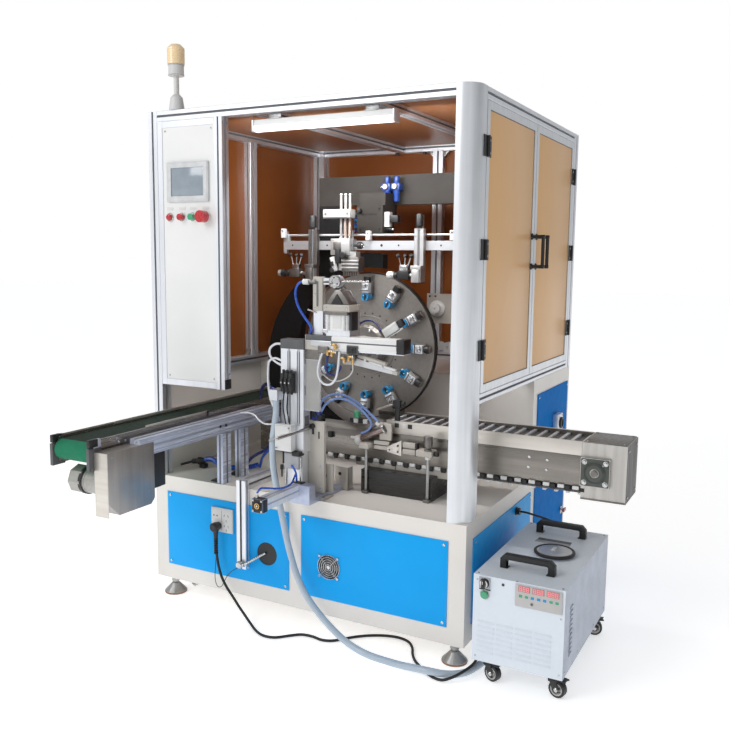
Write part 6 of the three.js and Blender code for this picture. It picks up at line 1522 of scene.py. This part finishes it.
# Infeed conveyor: pale top band, slat ends, clamps on their rods, bearing and drive box
infeedTrim = dict(
    teeth=(600, 1476, 45, 549, 560),
    bolts=((1318, 631), (1374, 628), (1316, 599), (1372, 597)),
    bearing=(1523, 611), flangeHalf=43, flangeFace=194.4,
    blocks=[
        ((827, 208.6, 655), (1479.6, 216, 698), 1, 0.8),
        ((586, 214.7, 560), (1479.6, 219.3, 656), 0, 0.4),
        ((586, 214.6, 650), (828, 219.4, 677), 0, 0.4),
        ((764, 214.6, 521.5), (858, 219.4, 546), 10, 0.6),
        ((862, 214.6, 521.5), (1054, 219.4, 546), 10, 0.6),
        ((1481, 205, 524), (1611, 375, 528), 5, 1),
        ((1484, 212, 696.6), (1608, 368, 699.5), 5, 1),
        ((828, 366, 655), (1479.6, 372, 698), 1, 0.8),
        ((814, 184, 634), (858, 194, 692), 10, 2),
        ((796, 178, 618), (852, 192, 631), 10, 2),
        ((796, 178, 602), (852, 192, 615), 10, 2),
        ((902, 178, 618), (950, 192, 636), 10, 2.5),
        ((902, 178, 597), (950, 192, 615), 10, 2.5),
        ((948, 176, 595), (956, 194, 638), 2, 1),
        ((840, 192, 604), (900, 216, 626), 5, 1),
        ((961, 152, 602), (1018, 196, 622), 10, 3),
        ((752, 152, 604), (790, 196, 622), 10, 3),
        ((960, 190, 600), (985, 216, 618), 5, 1),
        ((752, 190, 606), (775, 216, 620), 5, 1),
        ((990, 150, tableZ), (1012, 172, 462), 5, 1.5),
        ((766, 150, tableZ), (788, 172, 462), 5, 1.5),
        ((664, 150, tableZ), (716, 154, 532), 1, 1),
        ((712, 150, tableZ), (716, 180, 532), 10, 1),
        ((664, 150, tableZ), (716, 190, 456), 10, 1),
        ((850, 206, 744), (878, 226, 768), 2, 3),
        ((856, 212, 697), (872, 222, 748), 2, 1.5),
        ((600, 206, 614), (618, 216, 636), 2, 3),
    ],
    ends=[(686, 2), (702, 3), (720, 2), (738, 3), (858, 2), (884, 3), (906, 2)],
)


def makeInfeedFittings(v):
    trim = Piece(
        "infeed_fittings", "machine", "steel", stainless, paleSteel, blackPlastic, whitePlastic, chrome,
        darkSteel,
        brownSteel, greenPlastic, zincPlate, bearingIron, beigeSteel,
    )
    trim.blocks(v["blocks"])
    start, end, pitch, low, high = v["teeth"]
    for i in range(int((end - start) / pitch) + 1):
        x = start + i * pitch
        trim.block((x, 207, low), (x + 20, 215, high), 3, 1.5)
        trim.block((x + 22, 209, low - 6), (x + 38, 215, high - 2), 2, 1.5)
    for x, finish in v["ends"]:
        trim.block((x, 207, 676), (x + 16, 220, 691), finish, 1.5)
    for x, z in v["bolts"]:
        trim.screw((x, 214.7, z), toFront, 5, 4)
    # air cylinder with its white end, held in a ring
    way = Vector((103, 0, 50)).normalized()
    first = Vector((732, 184, 623))
    trim.rod(first, first + way * 112, 10, 6, 24, 1)
    trim.rod(first - way * 6, first + way * 16, 16, 3, 28, 4)
    trim.rod(first + Vector((-26, 0, 8)), first + Vector((-6, 0, 6)), 4.5, 3, 14, 1)
    trim.ring(first + way * 112, way, 13, 4, 4, 28)
    trim.turned(first + way * 106, way, [(0, 0), (0, 12), (10, 12), (12, 9), (12, 0)], 5, 24)
    trim.rod((801, 184, 690), (812, 184, 682), 6, 3, 14, 1)
    holes = [circle(*hole, 24) for hole in ((856, 606, 3), (887, 623, 3.8), (887, 603, 3.8))]
    trim.plate([(848, 598), (900, 590), (900, 642), (848, 616)], alongY, 174, 180, 1, holes, 0.6)
    # clamp rods with a knurled knob
    trim.rod((1001, 162, 456), (1001, 162, 634), 5.5, 8, 18, 0.8)
    trim.rod((777, 162, 456), (777, 162, 618), 5, 8, 18, 0.8)
    trim.turned((1001, 162, 622), up, [
        (0, 0), (0, 12), (5, 12), (8, 8), (12, 8), (14, 14), (22, 15), (44, 15), (48, 13), (48, 0),
    ], 5, 22)
    trim.turned((1001, 162, 602), down, [(0, 0), (0, 9), (8, 9), (10, 5.5), (10, 0)], 3, 18)
    trim.rod((1018, 172, 612), (1034, 172, 612), 8, 2, 18, 2)
    trim.rod((800, 190, 733), (862, 214, 757), 4.5, 0, 16, 0.8)
    trim.turned((880, 216, 756), toRight, [(0, 0), (0, 8), (10, 9), (12, 6), (12, 0)], 2, 18)
    trim.turned((711, 217, 676), up, [(0, 0), (0, 5), (16, 5), (18, 11), (36, 12), (40, 9), (40, 0)], 7, 22)
    trim.rod((683, 149.4, 508), (683, 150.4, 508), 6, 2, 18)
    # screws of the drive box's lid and end
    trim.screws((1492, 1600), (222, 358), 699.4, up, 4, 4)
    trim.screws(1612, (230, 350), (540, 680), toRight, 4, 4)
    # bearing flange with its ring and four bolts
    bx, bz = v["bearing"]
    half, face = v["flangeHalf"], v["flangeFace"]
    trim.block((bx - half, face - 1, bz - half), (bx + half, 208, bz + half), 9, 5)
    trim.turned((bx, face - 1, bz), toFront, [
        (0, 32), (4, 30), (8, 25), (9, 24.5), (9, 14), (4, 13), (4, 10.4),
    ], 9, 36)
    for x, z in product((bx - 31, bx + 31), (bz - 31, bz + 31)):
        trim.turned((x, face - 1, z), toFront, [
            (0, 0), (0, 8), (1.4, 8), (1.4, 5.6), (7, 5.6), (8, 4.4), (8, 0),
        ], 4, 12)
    trim.turned((bx + 20, face - 3, bz + 22), (1, -1, 1), [(0, 0), (0, 3), (7, 3), (8, 1.6), (8, 0)], 4, 10)
    trim.done()


# Outfeed conveyor: black end caps, slotted rail and posts, cover with its folded edge, gearbox and motor
outfeedTrim = dict(
    rail=(262, 303, -395, 300, 631, 685), posts=((3, 48), (105, 150)), caps=((90.6, 102.6), (239.4, 251.4)),
    motor=(122, -470, 562),
    blocks=[
        ((262, -338, 522), (302, -286, 630), 2, 2),
        ((251.2, -530, 477.6), (303.6, -527.6, 668), 3, 1),
        ((301.6, -530, 519), (303.9, -527, 669), 3, 0.6),
        ((102, -300, 696), (106, 560, 706), 3, 1),
        ((236, -300, 696), (240, 0, 706), 3, 1),
        ((99.4, -500, 617), (100.4, 566, 622), 1, 0.3),
        ((241.6, -338, 640), (243, 0, 646), 1, 0.3),
        ((241.8, -4, 688), (243, 4, 706), 2, 0.4),
        ((99, -508, 700), (101, 566, 704.6), 3, 0.5),
    ],
)


def makeOutfeedFittings(v):
    trim = Piece(
        "outfeed_fittings", "machine", "aluminium", aluminiumY, slotShade, blackPlastic, paleSteel, chrome,
        motorGrey, zincPlate, coverSteel, darkGreyPlastic,
    )
    trim.blocks(v["blocks"])
    x0, x1, y0, y1, z0, z1 = v["rail"]
    for z in (z0 + 2, z0 + 10, z1 - 13, z1 - 5):
        trim.block((x1 - 0.4, y0, z), (x1 + 0.9, y1, z + 2.4), 0, 0.3)
    trim.block(((x0 + x1) / 2 - 4, y0, z1 - 0.5), ((x0 + x1) / 2 + 4, y1, z1 + 0.35), 1)
    trim.block((x1 - 0.5, y0, z0 + 24), (x1 + 0.3, y1, z0 + 31), 0)
    for y in (-10, 21):
        trim.turned((x1, y, z0 + 27), toRight, [
            (0, 0), (0, 5.4), (1.2, 5.4), (1.2, 3), (0.4, 3), (0.4, 0),
        ], 2, 16)
    for near, far in v["posts"]:
        middle = (near + far) / 2
        trim.block((277.4, near - 0.4, 453), (302.6, near + 0.3, z0 + 2), 0, 0.2)
        trim.block((286.4, near - 0.6, 453), (293.6, near, z0 + 2), 1)
        trim.block((302.8, middle - 4, 453), (303.4, middle + 4, z0), 1)
        trim.block((276.6, middle - 4, 453), (277.2, middle + 4, z0), 1)
        foot = [(240, tableZ), (278, tableZ), (278, 500), (272, 500), (266, 470), (240, 457)]
        trim.plate(foot, alongY, middle - 12, middle + 12, 2, edge=1)
        trim.screw((252, middle, 457), up, 4, 4)
        trim.block((268, near - 1, z0 - 3), (304, far + 1, z0 + 1), 0, 1)
    fold = [(-529.8, 669), (-529.8, 519.6), (-487.8, 477.6), (-354, 477.6), (-338.2, 493.6), (-338.2, 669)]
    trim.plate(fold, alongX, 303.1, 304.6, 7, edge=0.5)
    # end caps: a square black block above a black side plate, with an axle bolt
    for low, high in v["caps"]:
        trim.block((low - 0.4, -546, 682), (high + 0.4, -512, 705.4), 2, 2)
        trim.block((low, -548, 613.4), (high, -500.4, 680), 8, 1.5)
        side = 1 if low > 200 else -1
        at = high if side > 0 else low
        trim.screw((at, -515, 645), (side, 0, 0), 6, 4)
        trim.block((low + 2, -527, 628), (high - 2, -499, 636), 5, 1)
    for y, z in ((-422, 677), (-393, 675), (-458, 690), (-429, 690)):
        trim.screw((242, y, z), toRight, 4.4, 4)
    for y, z in ((-512, 655), (-512, 540), (-360, 655), (-360, 520)):
        trim.screw((303, y, z), toRight, 3.6, 6)
    # gearbox face with its bolts, clamp ring and the motor's shell
    mx, my, mz = v["motor"]
    trim.turned((mx, my, mz), toLeft, [(0, 0), (0, 24), (2, 24), (3, 20), (3, 12), (7, 11), (7, 0)], 5, 28)
    for y, z in circle(my, mz, 33, 4, 45):
        trim.screw((mx, y, z), toLeft, 4, 4)
    trim.turned((mx + 40, my, mz), toRight, [(0, 40), (0, 42.6), (12, 42.6), (12, 40)], 2, 40)
    trim.turned((mx + 56, my, mz), toRight, [
        (0, 37.5), (0, 39.4), (4, 39.4), (5, 38), (66, 38), (70, 39), (70, 37),
    ], 5, 40)
    # far end: axle blocks and a tensioning screw on each side plate
    for at, side in ((100, -1), (242, 1)):
        trim.block((min(at, at + side * 7), 500, 640), (max(at, at + side * 7), 540, 684), 2, 2)
        trim.rod((at + side * 3.5, 540, 661), (at + side * 3.5, 566, 661), 3, 4, 12)
    trim.done()


makeInfeedFittings(infeedTrim)
makeOutfeedFittings(outfeedTrim)
print("conveyors dressed")


# Cooling unit: controls, display, slots, grips, cap and the pieces of its casters
coolerTrim = dict(
    front=-50, right=1513, top=333, display=(1371, 1505, 264, 328, -53),
    digits=((1382, 1412), (1422, 1453), (1463, 1495)),
    keys=((1387, 4), (1404, 4), (1421, 6), (1439, 6), (1456, 6), (1474, 4), (1491, 4)),
    casters=(
        ("a", "front_left", 1283, -4, -20), ("b", "front_right", 1475, -4, -12),
        ("c", "rear_left", 1283, 444, 35), ("d", "rear_right", 1475, 444, 15),
    ),
)


def makeCoolerFittings(v):
    trim = Piece(
        "cooler_fittings", "machine", "grey_plastic", coolerPaintShadedRight, displayGrey, blackPlastic, redDigits,
        greenPlastic,
        greyPlastic, bluePlastic, palePlastic, chrome, slotShade, digitGlass,
    )
    front, right, top = v["front"], v["right"], v["top"]
    x0, x1, z0, z1, face = v["display"]
    trim.block((x0, face - 1.2, z0), (x1, face + 0.5, z1), 1, 0.8)
    for low, high in v["digits"]:
        trim.block((low - 2, face - 1.8, 308), (high + 2, face - 1, 326), 10, 0.3)
        width = (high - low) / 3
        for i in range(3):
            x = low + i * width + 1
            trim.block((x, face - 2.3, 310), (x + width - 2.4, face - 1.7, 324), 3, 0.5)
            trim.block((x + 2, face - 2.5, 312), (x + width - 4.4, face - 2.2, 316), 10)
            trim.block((x + 2, face - 2.5, 318), (x + width - 4.4, face - 2.2, 322), 10)
    for x, finish in v["keys"]:
        trim.block((x - 5, face - 2.2, 291), (x + 5, face - 1, 299), finish, 1.5)
        trim.block((x - 5.5, face - 1.6, 290.4), (x + 5.5, face - 1, 299.6), 7, 0.3)
    trim.rod((1420, face - 2.4, 277), (1420, face - 1, 277), 4, 9, 16)
    trim.block((1263, face - 0.8, 295), (1297, face + 0.5, 329), 5, 1)
    trim.ring((1280, face - 1, 312), toBack, 15, 1, 8, 28)
    trim.block((1263, front - 1, 290), (1297, front + 0.5, 293.4), 2, 0.4)
    trim.ring((1280, front - 0.6, 277), toBack, 13.6, 1.5, 7, 28)
    trim.rod((1334, front - 0.5, 316), (1334, front + 0.5, 316), 4, 2, 18)
    trim.ring((1334, front - 0.4, 316), toBack, 4.6, 0.7, 7, 20)
    # hoods over the louvres, and the slots in the side and the top
    for column in range(4):
        for row in range(7):
            x, z = 1261 + 56 * column, 196 - 15 * row
            trim.plate([
                (front + 0.5, z - 6), (front - 3.4, z - 5.2), (front - 3.4, z - 4), (front - 0.4, z + 0.6),
                (front + 0.5, z + 0.6),
            ], alongX, x, x + 48, 0)
    for z in range(118, 259, 14):
        trim.block((right - 0.4, 8, z - 2), (right + 0.3, 38, z), 5)
        trim.plate([(8, z), (38, z), (34, z + 8), (12, z + 8)], alongX, right - 0.4, right + 3, 0, edge=1)
    trim.block((1320, 330, top - 0.4), (1428, 352, top + 0.6), 9, 0.2)
    trim.block((1318, 308, top - 0.4), (1430, 330, top + 0.5), 5, 0.2)
    trim.rod((1374, front + 2, top + 0.8), (1374, front + 2, top - 0.4), 3, 8, 12)
    trim.screws((1256, 1502), (-38, 478), top, up, 3.6, 8)
    trim.screws(1256, front, (86, 318), toFront, 3, 8)
    trim.screws(1502, front, (86, 250), toFront, 3, 8)
    trim.screws(right, (-30, 120, 320, 470), 88, toRight, 3.4, 8)
    trim.screws(1245, (-30, 120, 320, 470), 88, toLeft, 3.4, 8)
    # back: a fan grille and a collar on each connector
    trim.turned((1330, 490, 250), toBack, [(0, 0), (0, 44), (2, 44), (3, 40), (1, 38), (1, 0)], 2, 32)
    for radius in (10, 20, 30, 38):
        trim.ring((1330, 493, 250), toBack, radius, 1.2, 8, 28)
    for turn in range(4):
        angle = math.radians(45 * turn)
        dx, dz = 40 * math.cos(angle), 40 * math.sin(angle)
        trim.rod((1330 - dx, 494, 250 - dz), (1330 + dx, 494, 250 + dz), 1.1, 8, 8)
    for x, z, radius in ((1352, 150, 16), (1402, 210, 11), (1440, 275, 10)):
        trim.turned((x, 490, z), toBack, [(0, radius), (0, radius + 5), (5, radius + 5), (6, radius)], 2, 24)
    # grips' feet, each with a screw
    for y in (44, 412):
        for x in (1307, 1445):
            trim.block((x - 12, y - 12, top), (x + 12, y + 12, top + 2), 2, 0.8)
        trim.plate([
            (1295, 333.6), (1295, 362), (1308, 375), (1445, 375), (1458, 362), (1458, 333.6), (1439, 333.6),
            (1439, 355), (1435, 359), (1318, 359), (1314, 355), (1314, 333.6),
        ], alongY, y - 11.5, y + 11.5, 2, edge=2)
    trim.done()

    cap = Piece("cap_fittings", "cap", "grey_plastic", blackPlastic, capClear, palePlastic)
    cap.turned((1407, 219, 338), up, [
        (0, 60), (0, 62), (3, 63), (7, 62.4), (9, 60), (9, 55), (6.6, 53),
    ], 0, 48)
    cap.turned((1407, 219, 344.4), up, [(0, 0), (0, 54), (0.8, 54), (1.6, 50), (1, 30), (1.4, 0)], 1, 48)
    cap.block((1396, 216, 344.5), (1408, 250, 347), 2, 1)
    cap.done()
    knob = Piece("selector_fittings", "selector", "black_plastic", blackPlastic, chrome, whitePlastic)
    knob.turned((1280, -53.4, 312), toFront, [
        (0, 13), (0, 13.8), (3, 13.8), (4, 12.6), (10, 12.4), (10.4, 11),
    ], 0, 32)
    knob.turned((1280, -62, 312), toFront, [(0, 12.2), (1.6, 12), (2.2, 9), (1.6, 6), (1.4, 0)], 1, 28)
    knob.block((1275.4, -73.4, 300), (1284.6, -62, 324.5), 0, 2)
    knob.block((1279, -74, 314), (1281, -73, 323), 2, 0.2)
    knob.done()
    push = Piece("push_fittings", "push", "green_plastic", greenPlastic, chrome)
    push.turned((1280, -56, 277), toFront, [(0, 11), (2, 11), (3.4, 9.4), (3.4, 6), (2.8, 0)], 0, 28)
    push.ring((1280, -57.5, 277), toBack, 10.7, 0.6, 1, 28)
    push.done()

    # casters: chromed cheeks, pale tyre with its hub cap, stem and a brake lever with two lobes
    for letter, where, x, y, degrees in v["casters"]:
        turn = turnedAt((x, y, 0), math.radians(degrees), "Z")
        trim = Piece(
            "caster_fittings_" + where, "caster_" + letter, "black_plastic", blackPlastic, tyrePale, chrome,
        )
        for side in (-1, 1):
            trim.turned((16, side * 6, 25), (0, side, 0), [
                (-1, 25.2), (2.6, 24.6), (4.4, 22), (4.4, 17),
            ], 0, 36, turn)
            trim.turned((16, side * 6, 25), (0, side, 0), [
                (4.4, 18), (5.2, 17), (3, 15), (3, 9), (5.4, 8), (5.4, 0),
            ], 1, 36, turn)
            trim.turned((16, side * 12.6, 25), (0, side, 0), [
                (0, 0), (0, 6.5), (2, 6.5), (4, 4), (4, 0),
            ], 2, 14, turn)
            cheek = [(8, 20), (24, 20), (26, 30), (15, 52), (18, 64), (-15, 64), (-16, 56), (-4, 50)]
            trim.plate(cheek, alongY, side * 13.2 - 1.4, side * 13.2 + 1.4, 0, edge=0.8, turn=turn)
        trim.turned((0, 0, 62), up, [(0, 0), (0, 17), (3, 20.4), (6, 20.4), (9.6, 18), (9.6, 0)], 0, 28, turn)
        trim.block((-10, -16, 44), (20, 16, 56), 0, 4, turn)
        lever = [(10, -9), (34, -15), (46, -12), (40, 0), (46, 12), (34, 15), (10, 9)]
        trim.plate(lever, alongZ, 53, 57.5, 0, edge=1.2, turn=turn)
        trim.done()


makeCoolerFittings(coolerTrim)
print("cooling unit dressed")


# Floor, sky and lights
studio = dict(
    floorSize=60, floorColor=(0.93, 0.93, 0.93), floorGlow=0.5, skyColor=(0.97, 0.985, 1),
    skyStrength=(0.26, 0.62),
)
lights = dict(
    key=((-2.2, -4.2, 3.6), (-0.1, 0, 0.9), (2.4, 2.4), 84),
    fill=((3.6, -3.2, 2.6), (0, 0, 0.9), (2.6, 2.2), 5),
    inside=(machineSpot(640, 120, 1600), machineSpot(600, 900, 1000), (0.9, 0.12), 7),
)


def makeStudio(v):
    part = bmesh.new()
    bmesh.ops.create_grid(part, x_segments=1, y_segments=1, size=v["floorSize"] / 2)
    mesh = bpy.data.meshes.new("floor")
    part.to_mesh(mesh)
    part.free()
    mesh.materials.append(Paint("floor").finish(
        baseColor=v["floorColor"], roughness=0.75, emissionColor=(1, 1, 1), emissionStrength=v["floorGlow"],
    ))
    addObject("floor", mesh)
    # the sky lights the machine more from its left, and the camera sees it as plain white
    sky = Paint("sky", bpy.data.worlds, "Background")
    low, high = v["skyStrength"]
    across = sky.axis(alongX, sky.node("ShaderNodeTexCoord", output="Generated"))
    sky.link((*v["skyColor"], 1), sky.shader.inputs[0])
    sky.link(sky.range(across, high, low, 0.0, 0.9), sky.shader.inputs[1])
    seen = sky.node("ShaderNodeLightPath", output="Is Camera Ray")
    white = sky.node("ShaderNodeBackground", None, [(1, 1, 1, 1)])
    both = sky.node("ShaderNodeMixShader", None, [seen, Wire(sky, sky.shader.outputs[0]), white])
    sky.link(both, sky.tree.nodes["World Output"].inputs[0])
    bpy.context.scene.world = sky.material


def areaLight(name, place, target, size, power):
    data = bpy.data.lights.new(name, "AREA")
    data.shape = "RECTANGLE"
    data.size, data.size_y = size
    data.energy = power
    light = addObject(name, data)
    light.location = place
    light.rotation_mode = "QUATERNION"
    light.rotation_quaternion = (Vector(target) - Vector(place)).to_track_quat("-Z", "Y")
    light.visible_camera = False


makeStudio(studio)
for name, values in lights.items():
    areaLight(name, *values)
print("studio made")
